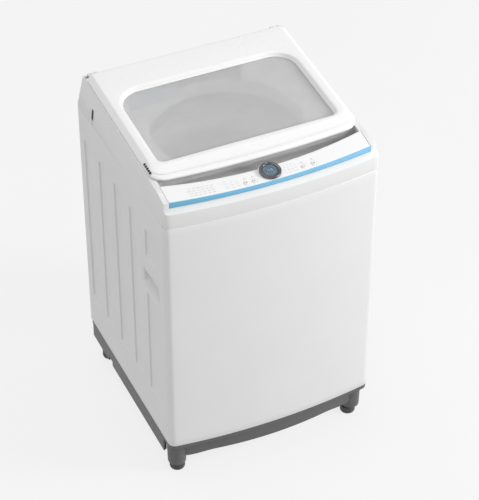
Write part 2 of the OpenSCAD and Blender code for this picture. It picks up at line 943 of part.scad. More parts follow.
module lid_frame() {
    color("white") {
        on_lid()
            difference() {
                union() {
                    difference() {
                        lid_block(0);
                        lid_block(lid_wall);
                    }
                    // Window surround, with the ledge that holds the glass
                    intersection() {
                        difference() {
                            window_hole(lid_wall + 6);
                            window_hole(-4);
                        }
                        translate([-half_w, -body_d, -glass_drop + e]) cube([body_w, body_d, glass_drop - 1]);
                    }
                }
                intersection() {
                    window_hole(0);
                    translate([-half_w, -body_d, -glass_drop / 2]) cube([body_w, body_d, over]);
                }
            }
        // Knuckles
        both_sides()
            difference() {
                union() {
                    translate([hinge_x - knuckle_w / 2, hinge_y, hinge_z])
                        rotate([0, 90, 0]) cylinder(r = knuckle_r, h = knuckle_w, $fn = 48);
                    translate([hinge_x - knuckle_w / 2, lid_back - 4, hinge_z - 2])
                        cube([knuckle_w, hinge_y - lid_back + 4, knuckle_r + 2]);
                }
                translate([hinge_x - knuckle_w, hinge_y, hinge_z])
                    rotate([0, 90, 0]) cylinder(r = pin_r + run_fit, h = knuckle_w * 2, $fn = 48);
            }
    }
}

module lid_glass() {
    color("lightgray", 0.5)
    on_lid()
        intersection() {
            window_hole(5);
            translate([-half_w, -body_d, -glass_drop - glass_t]) cube([body_w, body_d, glass_t]);
        }
}

module hinge_pin() {
    reach = knuckle_w / 2 + slide_gap + ear_w;
    translate([hinge_x - reach, hinge_y, hinge_z]) rotate([0, 90, 0]) cylinder(r = pin_r, h = 2 * reach, $fn = 48);
}

module hinge_pin_left() {
    color("silver") mirror([1, 0, 0]) hinge_pin();
}

module hinge_pin_right() {
    color("silver") hinge_pin();
}

module lid_bumpers() {
    color("dimgray")
    both_sides()
        for (d = [-60, -lid_flat + 10])
            on_lid()
                translate([lid_half - 4, d, -lid_t - lid_gap]) cylinder(r = 2.5, h = lid_gap - 0.3, $fn = 32);
}

module lid_switch() {
    color("dimgray")
    translate([well_half + frame_t, -60, deck_z - 2]) cube([16, 44, 26]);
}

// ---------------------------------------------------------------- water and drawer

module drawer_housing() {
    wall = 2;
    depth = drawer_d + 3;
    color("gainsboro")
    translate([drawer_x - drawer_w / 2 - wall - slide_gap, well_back + frame_t, drawer_z - wall - slide_gap])
        difference() {
            cube([drawer_w + 2 * (wall + slide_gap), depth, drawer_h + 2 * wall + 2 * slide_gap]);
            translate([wall, -1, wall]) cube([drawer_w + 2 * slide_gap, depth - wall, drawer_h + 2 * slide_gap]);
            // Outlet to the tub
            translate([drawer_w / 2, depth / 2, -1]) cylinder(r = 14, h = wall + 2, $fn = 48);
        }
}

module detergent_drawer() {
    wall = 2;
    color("lightsteelblue")
    translate([drawer_x - drawer_w / 2, well_back - 3, drawer_z])
        difference() {
            cube([drawer_w, drawer_d, drawer_h]);
            translate([wall, wall + 2, wall]) cube([drawer_w * 0.62, drawer_d - 2 * wall - 2, drawer_h]);
            translate([drawer_w * 0.62 + 2 * wall, wall + 2, wall])
                cube([drawer_w * 0.38 - 3 * wall, drawer_d - 2 * wall - 2, drawer_h]);
            // Finger scoop in the front
            translate([drawer_w / 2 - 20, -1, drawer_h - 12]) cube([40, 3, 8]);
        }
}

module inlet_valve() {
    spigot_end = back_y - 1;
    color("dodgerblue")
    translate([inlet_x, 0, inlet_z]) {
        difference() {
            union() {
                translate([0, frame_back - 50, 0]) rotate([-90, 0, 0])
                    cylinder(r = inlet_r, h = spigot_end - frame_back + 50);
                translate([0, frame_back - 50, 0]) rotate([-90, 0, 0]) cylinder(r = inlet_r + 3, h = 36);
                translate([-16, frame_back - 66, -16]) cube([32, 24, 34]);
                translate([0, frame_back - 54, -30]) cylinder(r = 8, h = 20, $fn = 48);
            }
            translate([0, frame_back - 44, 0]) rotate([-90, 0, 0]) cylinder(r = inlet_r - 4, h = over * 2);
            translate([0, frame_back - 54, -31]) cylinder(r = 5.5, h = 20, $fn = 48);
        }
    }
}

module cord_gland() {
    color("dimgray")
    translate([-drain_x, cab_back, drain_z])
        rotate([-90, 0, 0])
            difference() {
                union() {
                    translate([0, 0, -12]) cylinder(r = cord_r + 7, h = 12 + rear_sheet_t + e, $fn = 48);
                    translate([0, 0, rear_sheet_t]) cylinder(r = cord_r + 10, h = screw_head_h, $fn = 48);
                }
                translate([0, 0, -13]) cylinder(r = cord_r, h = 20, $fn = 48);
            }
}

module drain_outlet() {
    color("gray")
    translate([drain_x, cab_back, drain_z])
        rotate([-90, 0, 0])
            difference() {
                union() {
                    translate([0, 0, -30]) cylinder(r = drain_r + 3, h = 30 + rear_sheet_t + e);
                    translate([0, 0, -6]) cylinder(r = drain_r + 5, h = 6 + rear_sheet_t);
                    translate([0, 0, rear_sheet_t]) cylinder(r = drain_r + 8, h = screw_head_h);
                }
                translate([0, 0, -31]) cylinder(r = drain_r, h = 40);
            }
}

// ---------------------------------------------------------------- tub, drum and pulsator

drain_at = [-110, 110];
hose_bore = 12;
hose_r = 16;

module lug() {
    reach = sqrt(pow(rod_x, 2) + pow(rod_front, 2));
    turn = atan2(-rod_front, rod_x);
    for (a = [turn, 180 - turn, 180 + turn, 360 - turn])
        rotate([0, 0, a])
            translate([0, 0, lug_z])
                difference() {
                    union() {
                        translate([tub_r - 2, -22, 0]) cube([reach - tub_r + 2, 44, lug_t]);
                        translate([reach, 0, 0]) cylinder(r = 26, h = lug_t);
                        translate([tub_r - 2, -3, lug_t - e]) cube([reach - tub_r - 18, 6, 40]);
                    }
                    translate([reach, 0, -1]) cylinder(r = rod_r + 3, h = lug_t + 2, $fn = 48);
                }
}

module outer_tub() {
    color("whitesmoke")
    difference() {
        union() {
            translate([0, 0, tub_z]) cylinder(r = tub_r, h = tub_h);
            lug();
            // Feet that the carrier plate is bolted to
            for (x = [-90, 90], y = [-60, 60]) translate([x, y, carrier_z + carrier_t]) cylinder(r = 10, h = 6);
        }
        translate([0, 0, tub_z + 5]) cylinder(r = tub_r - tub_t, h = tub_h);
        translate([0, 0, tub_z - 10]) cylinder(r = bearing_r + 4, h = 30);
        translate([drain_at[0], drain_at[1], tub_z - 10]) cylinder(r = 18, h = 30, $fn = 48);
    }
}

module tub_cover() {
    color("whitesmoke")
    translate([0, 0, tub_z + tub_h]) {
        difference() {
            union() {
                cylinder(r = tub_r + 3, h = 6);
                translate([0, 0, 6 - e]) cylinder(r = mouth_r + 10, h = 12);
                translate([0, 0, -8]) ring(tub_r + 3, tub_r + 0.2, 8 + e);
            }
            translate([0, 0, -1]) cylinder(r = mouth_r + 7, h = 30);
        }
    }
}

module spin_drum() {
    color("silver")
    translate([0, 0, drum_floor_z]) ring(drum_r, drum_r - drum_t, drum_top - balance_h - drum_floor_z + 8);
}

hub_r = 62;

module drum_base() {
    color("lightgray")
    difference() {
        union() {
            translate([0, 0, drum_floor_z]) cylinder(r = drum_r - drum_t, h = 6);
            translate([0, 0, clutch_top + 4]) cylinder(r = hub_r, h = drum_floor_z - clutch_top - 4 + e);
            for (a = [0:60:300])
                rotate([0, 0, a]) translate([hub_r - 6, -8, drum_floor_z - 10]) cube([drum_r - hub_r - 14, 16, 10 + e]);
        }
        translate([0, 0, clutch_top]) cylinder(r = spin_shaft_r, h = 60);
    }
}

module balance_ring() {
    color("white")
    translate([0, 0, drum_top - balance_h])
        difference() {
            union() {
                cylinder(r = drum_r + 3, h = balance_h - 4);
                translate([0, 0, balance_h - 4 - e]) cylinder(r1 = drum_r + 3, r2 = drum_r - 1, h = 4);
            }
            translate([0, 0, -1]) cylinder(r = drum_r - balance_w, h = balance_h + 2);
            // Groove that the drum's rim is pressed into
            translate([0, 0, -1]) ring(drum_r, drum_r - drum_t, 9);
        }
}

module lint_filters() {
    h = 190;
    z = drum_floor_z + 120;
    color("lightsteelblue")
    for (a = [0, 180])
        rotate([0, 0, a])
            intersection() {
                translate([drum_r - drum_t - 12, -42, z]) cube([12, 84, h]);
                translate([0, 0, z]) cylinder(r = drum_r - drum_t, h = h);
            }
}

module pulsator() {
    z = drum_floor_z + 10;
    color("lightsteelblue")
    difference() {
        union() {
            translate([0, 0, z]) cylinder(r = pulsator_r, h = 10);
            translate([0, 0, z + 10 - e]) cylinder(r1 = pulsator_r * 0.9, r2 = 40, h = 16);
            translate([0, 0, z + 26 - 2 * e]) cylinder(r = 34, h = 10);
            for (a = [0:60:300])
                rotate([0, 0, a])
                    along_fin(z);
        }
        translate([0, 0, z - 1]) cylinder(r = wash_shaft_r, h = 25, $fn = 48);
        translate([0, 0, z + 22]) cylinder(r = 12, h = 30, $fn = 48);
        translate([0, 0, z]) cylinder(r = 4, h = 60, $fn = 32);
    }
}

// One swept fin of the pulsator, as a wedge that falls towards the rim
module along_fin(z) {
    translate([0, 6, 0])
        rotate([90, 0, 0])
            linear_extrude(12)
                polygon([
                    [30, z + 9], [pulsator_r - 6, z + 9], [pulsator_r - 10, z + 20], [pulsator_r * 0.55, z + 36],
                    [30, z + 34]
                ]);
}

module pulsator_screw() {
    z = drum_floor_z + 10;
    color("silver") {
        translate([0, 0, z + 22]) cylinder(r = 9, h = 6, $fn = 48);
        translate([0, 0, z + 12 + e]) cylinder(r = 4, h = 12, $fn = 32);
    }
}

// ---------------------------------------------------------------- drive

module spin_shaft() {
    color("lightgray")
    translate([0, 0, gear_z + 4]) ring(spin_shaft_r, wash_shaft_r + run_fit, spin_shaft_top - gear_z - 4);
}

module wash_shaft() {
    z = drum_floor_z + 22;
    color("darkgray")
    difference() {
        translate([0, 0, gear_z]) cylinder(r = wash_shaft_r, h = z - gear_z, $fn = 48);
        translate([0, 0, z - 20]) cylinder(r = 4, h = 30, $fn = 32);
    }
}

bearing_low = gear_z + 10;
bearing_high = clutch_top - 10 - bearing_h;

module shaft_bearings() {
    color("silver")
    for (z = [bearing_low, bearing_high])
        translate([0, 0, z]) ring(bearing_r, spin_shaft_r + run_fit, bearing_h);
}

module shaft_seal() {
    color("dimgray")
    translate([0, 0, bearing_high + bearing_h]) ring(bearing_r, spin_shaft_r + run_fit, 8);
}

module clutch_housing() {
    color("gray")
    difference() {
        union() {
            translate([0, 0, clutch_bottom]) cylinder(r = clutch_r, h = carrier_z - clutch_bottom - clutch_flange_t - 12);
            translate([0, 0, clutch_bottom + 10]) cylinder(r = bearing_r + 4, h = clutch_top - clutch_bottom - 10);
            translate([0, 0, carrier_z - clutch_flange_t]) cylinder(r = 84, h = clutch_flange_t);
        }
        // Gear space, bearing seats and the two shaft holes
        translate([0, 0, clutch_bottom + 4]) cylinder(r = clutch_r - 6, h = gear_z - clutch_bottom);
        translate([0, 0, clutch_bottom - 1]) cylinder(r = 8 + run_fit, h = 20, $fn = 48);
        translate([0, 0, bearing_low]) cylinder(r = bearing_r, h = 200);
        translate([0, 0, gear_z]) cylinder(r = spin_shaft_r + 2, h = 200);
    }
}

// A grooved pulley whose belt runs at path_r
module pulley(path_r, hub) {
    groove = belt_h + 2;
    translate([0, 0, belt_z - 4]) {
        cylinder(r = path_r + 2, h = 3);
        cylinder(r = path_r - 4, h = pulley_h);
        translate([0, 0, 3 + groove]) cylinder(r = path_r + 2, h = pulley_h - 3 - groove);
        translate([0, 0, pulley_h - e]) cylinder(r = hub, h = 3);
    }
}

module driven_pulley() {
    color("darkgray") {
        difference() {
            pulley(driven_r, 16);
            for (a = [0:60:300])
                rotate([0, 0, a]) translate([driven_r * 0.6, 0, belt_z - 10]) cylinder(r = 12, h = 40, $fn = 32);
        }
        translate([0, 0, belt_z - 6]) cylinder(r = 8, h = gear_z - belt_z - 2, $fn = 48);
    }
}

module motor_pulley() {
    color("darkgray")
    translate([0, motor_offset, 0]) {
        pulley(motor_pulley_r, 14);
        translate([0, 0, belt_z - 6]) cylinder(r = 6, h = 60, $fn = 48);
    }
}

// Outline of a belt round both pulleys at a given distance outside the pulleys' path
function belt_line(extra) =
    let (lean = asin((driven_r - motor_pulley_r) / motor_offset))
    concat(
        arc(0, motor_offset, motor_pulley_r + extra, lean, 180 - lean, 20),
        arc(0, 0, driven_r + extra, 180 - lean, 360 + lean, 40)
    );

module drive_belt() {
    color("black")
    translate([0, 0, belt_z])
        linear_extrude(belt_h)
            difference() {
                polygon(belt_line(1.2));
                polygon(belt_line(-3.2));
            }
}

module motor() {
    low = belt_z + pulley_h + 12;
    color("steelblue")
    translate([0, motor_offset, 0])
        difference() {
            union() {
                translate([0, 0, low]) cylinder(r = motor_r, h = carrier_z - low - 12);
                translate([0, 0, carrier_z - 14]) cylinder(r = motor_r - 16, h = 14);
                for (a = [0:90:270])
                    rotate([0, 0, a + 45]) translate([motor_r - 22, -8, carrier_z - 16]) cube([18, 16, 16]);
            }
            translate([0, 0, low - 1]) cylinder(r = 6 + run_fit, h = 60, $fn = 48);
        }
}

module carrier_plate() {
    color("silver")
    translate([0, 0, carrier_z])
        difference() {
            union() {
                translate([-105, -75, 0]) cube([210, 150, carrier_t]);
                translate([-70, 0, 0]) cube([140, motor_offset + motor_r - 10, carrier_t]);
            }
            translate([0, 0, -1]) cylinder(r = bearing_r + 4, h = 20);
        }
}

module motor_capacitor() {
    color("lightgray")
    translate([120, cab_back - 30, base_top + 45]) {
        cylinder(r = 20, h = 75);
        translate([-12, 18, 10]) cube([24, 12, 50]);
    }
}

module drain_valve() {
    color("gray")
    translate([drain_at[0], drain_at[1], 0]) {
        difference() {
            union() {
                translate([0, 0, tub_z - 40]) cylinder(r = 26, h = 40);
                translate([0, 0, tub_z - 1]) cylinder(r = 17.8, h = 6, $fn = 48);
                translate([-55, -14, tub_z - 38]) cube([40, 28, 26]);
                translate([0, 0, tub_z - 22]) rotate([-90, 0, 0]) cylinder(r = hose_bore - seat_gap / 2, h = 46, $fn = 48);
            }
            translate([0, 0, tub_z - 34]) cylinder(r = 15, h = 60, $fn = 48);
            translate([0, 0, tub_z - 22]) rotate([-90, 0, 0]) cylinder(r = hose_bore - 3, h = 60, $fn = 48);
        }
    }
}

// Short hose from the drain valve back and down to the outlet
module drain_hose() {
    y0 = drain_at[1] + 26.5;
    y1 = cab_back - 62;
    top = tub_z - 22;
    x0 = drain_at[0];
    color("dimgray")
    difference() {
        union() {
            translate([x0, y0, top]) rotate([-90, 0, 0]) cylinder(r = hose_r, h = y1 - y0 + hose_r);
            translate([x0, y1, drain_z]) cylinder(r = hose_r, h = top - drain_z);
            translate([drain_x, y1, drain_z]) rotate([0, 90, 0]) cylinder(r = hose_r, h = x0 - drain_x + hose_r);
            translate([drain_x, y1 - hose_r, drain_z])
                rotate([-90, 0, 0]) cylinder(r = hose_r, h = cab_back - 31 - y1 + hose_r);
        }
        translate([x0, y0 - 1, top]) rotate([-90, 0, 0]) cylinder(r = hose_bore, h = y1 - y0 + 1, $fn = 48);
        translate([x0, y1, drain_z]) cylinder(r = hose_bore, h = top - drain_z, $fn = 48);
        translate([drain_x, y1, drain_z]) rotate([0, 90, 0]) cylinder(r = hose_bore, h = x0 - drain_x, $fn = 48);
        translate([drain_x, y1, drain_z]) rotate([-90, 0, 0]) cylinder(r = hose_bore, h = 100, $fn = 48);
    }
}

// ---------------------------------------------------------------- suspension

module rod_sockets() {
    color("gainsboro")
    difference() {
        intersection() {
            translate([0, 0, socket_z])
                linear_extrude(socket_t) polygon(plan(bead_depth + sheet_t + 0.5, cab_back - sheet_t, corner_r - 5, 4));
            at_rods() translate([-36, -44, socket_z - 1]) cube([90, 88, 30]);
        }
        at_rods() translate([0, 0, socket_z - 1]) cylinder(r = rod_r + 2, h = 20, $fn = 48);
        translate([0, 0, socket_z - 1]) cylinder(r = tub_r + 12, h = 30);
    }
}

module suspension_rods() {
    ball = rod_r + 6;
    color("silver")
    at_rods() {
        translate([0, 0, rod_foot_z]) cylinder(r = spring_r + 2, h = 4);
        translate([0, 0, rod_foot_z - 8]) cylinder(r = 8, h = 8, $fn = 6);
        translate([0, 0, rod_foot_z + 4 - e]) cylinder(r = rod_r, h = socket_z + socket_t + 2 - rod_foot_z, $fn = 48);
        translate([0, 0, socket_z + socket_t]) cylinder(r = ball, h = 7, $fn = 48);
    }
}

// A helix swept with a six-sided section
module coil(r, wire, low, high, turns) {
    per_turn = 16;
    sides = 6;
    steps = turns * per_turn;
    rings = [for (i = [0:steps]) let (a = 360 * i / per_turn, z = low + (high - low) * i / steps)
        for (k = [0:sides - 1]) let (q = r + wire * cos(360 * k / sides))
            [q * cos(a), q * sin(a), z + wire * sin(360 * k / sides)]];
    skin = [for (i = [0:steps - 1], k = [0:sides - 1]) let (a = i * sides, n = (k + 1) % sides)
        [a + k, a + n, a + sides + n, a + sides + k]];
    ends = [[for (k = [sides - 1:-1:0]) k], [for (k = [0:sides - 1]) steps * sides + k]];
    polyhedron(points = rings, faces = concat(skin, ends), convexity = 10);
}

module suspension_springs() {
    color("silver")
    at_rods() coil(spring_r - wire_r, wire_r, spring_low + wire_r + 0.2, lug_z - wire_r - 0.2, spring_turns);
}

cabinet();
rear_panel();
service_cover();
handle_cup_left();
handle_cup_right();
base();
guard_plate();
front_foot_left();
front_foot_right();
foot_locknuts();
rear_feet();
top_frame();
control_panel();
trim_strip();
finger_recess();
dial_ring();
dial_display();
function_button_left();
function_button_right();
start_button();
power_button();
control_board();
board_case();
lid_frame();
lid_glass();
hinge_pin_left();
hinge_pin_right();
lid_bumpers();
lid_switch();
detergent_drawer();
drawer_housing();
inlet_valve();
outer_tub();
tub_cover();
spin_drum();
drum_base();
balance_ring();
lint_filters();
pulsator();
pulsator_screw();
spin_shaft();
wash_shaft();
shaft_bearings();
shaft_seal();
clutch_housing();
driven_pulley();
drive_belt();
motor();
motor_pulley();
carrier_plate();
motor_capacitor();
drain_valve();
drain_hose();
drain_outlet();
suspension_rods();
rod_sockets();
suspension_springs();
cord_gland();
rear_screws();
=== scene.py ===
"""Looks of the top load washing machine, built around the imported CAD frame. Sizes are in mm until a mesh is made."""
import json
import math

import bmesh
import bpy
from mathutils import Matrix, Vector


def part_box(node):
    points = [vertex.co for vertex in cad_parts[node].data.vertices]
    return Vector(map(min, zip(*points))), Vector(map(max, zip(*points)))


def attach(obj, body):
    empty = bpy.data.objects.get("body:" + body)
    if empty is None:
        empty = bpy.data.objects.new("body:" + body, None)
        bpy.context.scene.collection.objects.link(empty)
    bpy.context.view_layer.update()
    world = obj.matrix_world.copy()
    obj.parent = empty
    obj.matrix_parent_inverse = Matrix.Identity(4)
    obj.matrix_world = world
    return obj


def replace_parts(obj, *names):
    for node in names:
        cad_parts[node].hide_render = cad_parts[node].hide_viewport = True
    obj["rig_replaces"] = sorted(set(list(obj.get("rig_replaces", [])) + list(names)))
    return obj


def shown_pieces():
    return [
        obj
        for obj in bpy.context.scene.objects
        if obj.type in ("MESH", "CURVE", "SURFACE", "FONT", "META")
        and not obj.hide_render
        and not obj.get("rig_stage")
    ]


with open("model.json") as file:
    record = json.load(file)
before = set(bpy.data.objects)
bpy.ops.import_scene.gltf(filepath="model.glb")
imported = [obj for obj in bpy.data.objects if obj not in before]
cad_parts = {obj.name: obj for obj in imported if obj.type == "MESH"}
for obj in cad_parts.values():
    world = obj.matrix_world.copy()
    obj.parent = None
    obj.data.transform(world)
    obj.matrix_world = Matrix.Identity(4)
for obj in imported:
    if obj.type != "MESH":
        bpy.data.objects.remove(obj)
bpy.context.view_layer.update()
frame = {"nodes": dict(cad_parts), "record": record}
scene = bpy.context.scene
MM = 0.001


# ---------------- camera, light and floor

def aim(obj, place, target):
    obj.location = place
    obj.rotation_mode = "QUATERNION"
    obj.rotation_quaternion = (Vector(target) - Vector(place)).to_track_quat("-Z", "Y")
    scene.collection.objects.link(obj)
    return obj


CAMERA_PLACE = (-1.5482, -3.4041, 3.5433)
CAMERA_AZIMUTH, CAMERA_ELEVATION = -24.9, 39.56
SENSOR_WIDTH, LENS = 36.0, 141.25


def camera():
    data = bpy.data.cameras.new("camera")
    data.sensor_width, data.lens = SENSOR_WIDTH, LENS
    data.clip_end = 60.0
    azimuth, elevation = math.radians(CAMERA_AZIMUTH), math.radians(CAMERA_ELEVATION)
    look = Vector((-math.sin(azimuth) * math.cos(elevation), math.cos(azimuth) * math.cos(elevation),
                   -math.sin(elevation)))
    scene.camera = aim(bpy.data.objects.new("camera", data), CAMERA_PLACE, Vector(CAMERA_PLACE) + look)


# Strength of the sky straight down and straight up, and (name, place, target, size, watts) of each area light.
SKY = (0.4, 0.68)
LIGHTS = (
    ("key_right", (3.1, -2.2, 2.2), (0.0, 0.0, 0.5), (1.2, 1.2), 112.0),
    ("left_front", (-2.3, -2.9, 1.3), (-0.2, -0.2, 0.5), (0.6, 1.6), 7.0),
    ("top_soft", (-0.6, 0.5, 3.4), (0.0, 0.0, 0.8), (2.0, 2.0), 15.0),
)


def studio():
    world = bpy.data.worlds.new("studio")
    scene.world = world
    world.use_nodes = True
    tree = world.node_tree
    height = tree.nodes.new("ShaderNodeSeparateXYZ")
    fade = tree.nodes.new("ShaderNodeMapRange")
    coords = tree.nodes.new("ShaderNodeTexCoord")
    tree.links.new(coords.outputs["Generated"], height.inputs["Vector"])
    tree.links.new(height.outputs["Z"], fade.inputs["Value"])
    tree.links.new(fade.outputs["Result"], tree.nodes["Background"].inputs["Strength"])
    tree.nodes["Background"].inputs["Color"].default_value = (1.0, 1.0, 1.0, 1.0)
    for socket, value in (("From Min", -1.0), ("From Max", 1.0), ("To Min", SKY[0]), ("To Max", SKY[1])):
        fade.inputs[socket].default_value = value
    for name, place, target, size, power in LIGHTS:
        data = bpy.data.lights.new(name, "AREA")
        data.shape, data.size, data.size_y = "RECTANGLE", *size
        data.energy = power
        aim(bpy.data.objects.new(name, data), place, target)
    bpy.ops.mesh.primitive_plane_add(size=60.0, location=(0.0, 0.0, 0.0))
    floor = bpy.context.object
    floor.name = "floor"
    floor.data.materials.append(floor_material())
    floor.visible_diffuse = False
    floor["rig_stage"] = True
    scene.view_settings.view_transform = "Standard"


# ---------------- materials

class Graph:
    """A material's node tree, with its texture coordinates fixed to the object."""

    def __init__(self, name):
        self.material = bpy.data.materials.new(name)
        self.material.use_nodes = True
        self.tree = self.material.node_tree
        self.shader = self.tree.nodes["Principled BSDF"]
        self.coord = self.add("ShaderNodeTexCoord").outputs["Object"]

    def add(self, kind, links=(), **settings):
        made = self.tree.nodes.new(kind)
        for key, value in settings.items():
            if hasattr(made, key):
                setattr(made, key, value)
            else:
                made.inputs[key.replace("_", " ")].default_value = value
        for socket, source in dict(links).items():
            self.tree.links.new(source, made.inputs[socket])
        return made

    def link(self, source, socket):
        self.tree.links.new(source, self.shader.inputs[socket])

    def stretched(self, scale):
        return self.add("ShaderNodeMapping", {"Vector": self.coord}, Scale=scale).outputs["Vector"]

    def noise(self, size, detail=2.0, vector=None):
        """Noise between 0 and 1, with spots of about size mm."""
        made = self.add("ShaderNodeTexNoise", {"Vector": vector or self.coord}, Scale=1.0 / (size * MM), Detail=detail)
        return made.outputs["Fac"]

    def between(self, fac, low, high, start=0.3, end=0.7):
        made = self.add("ShaderNodeMapRange", {"Value": fac}, From_Min=start, From_Max=end, To_Min=low, To_Max=high)
        return made.outputs["Result"]

    def mixed(self, fac, a, b, start=0.3, end=0.7):
        ramp = self.add("ShaderNodeValToRGB", {"Fac": fac})
        for stop, position, color in zip(ramp.color_ramp.elements, (start, end), (a, b)):
            stop.position, stop.color = position, (*color, 1.0)
        return ramp.outputs["Color"]

    def bump(self, height, depth):
        made = self.add("ShaderNodeBump", {"Height": height}, Strength=1.0, Distance=depth * MM)
        self.link(made.outputs["Normal"], "Normal")

    def fix(self, **values):
        """Set the shader's uniform values on its own sockets."""
        for key, value in values.items():
            self.shader.inputs[key.replace("_", " ")].default_value = value


def grey(value):
    return value, value, value


def shade(color, by):
    return tuple(min(1.0, c * (1.0 + by)) for c in color)


def plain(name, color, rough, vary=0.02, spots=40.0, grain=0.6, depth=0.02, metal=0.0, coat=0.0, streak=None):
    """Moulded, painted or metal surface: drifting colour and gloss, and a fine grain of the real size."""
    g = Graph(name)
    field = g.stretched(streak) if streak else g.coord
    g.link(g.mixed(g.noise(spots, 3.0, field), shade(color, -vary), shade(color, vary)), "Base Color")
    g.link(g.between(g.noise(spots * 0.4, 4.0, field), rough - 0.05, rough + 0.05), "Roughness")
    g.bump(g.noise(grain, 2.0, field), depth)
    g.fix(Metallic=metal, Coat_Weight=coat)
    return g.material


def floor_material():
    g = Graph("floor_paper")
    g.link(g.mixed(g.noise(400.0), grey(0.12), grey(0.13)), "Base Color")
    g.fix(Roughness=0.9, Specular_IOR_Level=0.1, Emission_Color=(1.0, 1.0, 1.0, 1.0), Emission_Strength=0.79)
    return g.material


def glass_material():
    """Tempered glass with a faint grey tint and a haze of fine specks."""
    g = Graph("tempered_glass")
    g.link(g.mixed(g.noise(60.0, 3.0), grey(0.76), grey(0.8)), "Base Color")
    g.link(g.between(g.noise(25.0, 4.0), 0.04, 0.09), "Roughness")
    g.bump(g.noise(90.0), 0.02)
    g.fix(Alpha=0.44, IOR=1.5)
    return g.material


def trim_material():
    """Glossy blue plastic with a painted lighting gradient: its colour goes from darker teal on the left to lighter sky
    blue on the right.
    """
    g = Graph("blue_trim")
    split = g.add("ShaderNodeSeparateXYZ", {"Vector": g.coord})
    # Painted light: the base colour is made lighter towards the right along object X.
    painted_light_share = g.between(split.outputs["X"], 0.0, 1.0, -0.25, 0.25)
    blue = g.mixed(painted_light_share, (0.11, 0.43, 0.64), (0.19, 0.52, 0.8), 0.0, 1.0)
    flakes = g.add("ShaderNodeMixRGB", {"Color1": blue, "Fac": g.between(g.noise(1.2), 0.0, 0.08)},
                   Color2=(0.8, 0.9, 1.0, 1.0))
    g.link(flakes.outputs["Color"], "Base Color")
    g.link(g.between(g.noise(9.0, 4.0), 0.18, 0.28), "Roughness")
    g.bump(g.noise(3.0), 0.01)
    g.fix(Coat_Weight=0.3)
    return g.material


def spangled(name, color):
    """Galvanised sheet with its crystal spangle, in spots of about 11 mm."""
    g = Graph(name)
    cells = g.add("ShaderNodeTexVoronoi", {"Vector": g.coord}, Scale=1.0 / 0.011)
    value = g.add("ShaderNodeSeparateColor", {"Color": cells.outputs["Color"]}).outputs["Red"]
    g.link(g.mixed(value, shade(color, -0.05), shade(color, 0.04), 0.0, 1.0), "Base Color")
    g.link(g.between(value, 0.36, 0.46, 0.0, 1.0), "Roughness")
    g.bump(g.noise(1.5), 0.02)
    g.fix(Metallic=0.6)
    return g.material


def board_material():
    """Green circuit board with pale traces."""
    g = Graph("circuit_board")
    traces = g.add("ShaderNodeTexBrick", {"Vector": g.coord}, Scale=90.0, Mortar_Size=0.03,
                   Color1=(0.012, 0.11, 0.045, 1.0), Color2=(0.018, 0.14, 0.06, 1.0), Mortar=(0.2, 0.42, 0.18, 1.0))
    g.link(traces.outputs["Color"], "Base Color")
    g.link(g.between(g.noise(6.0), 0.3, 0.42), "Roughness")
    g.bump(traces.outputs["Fac"], 0.05)
    return g.material


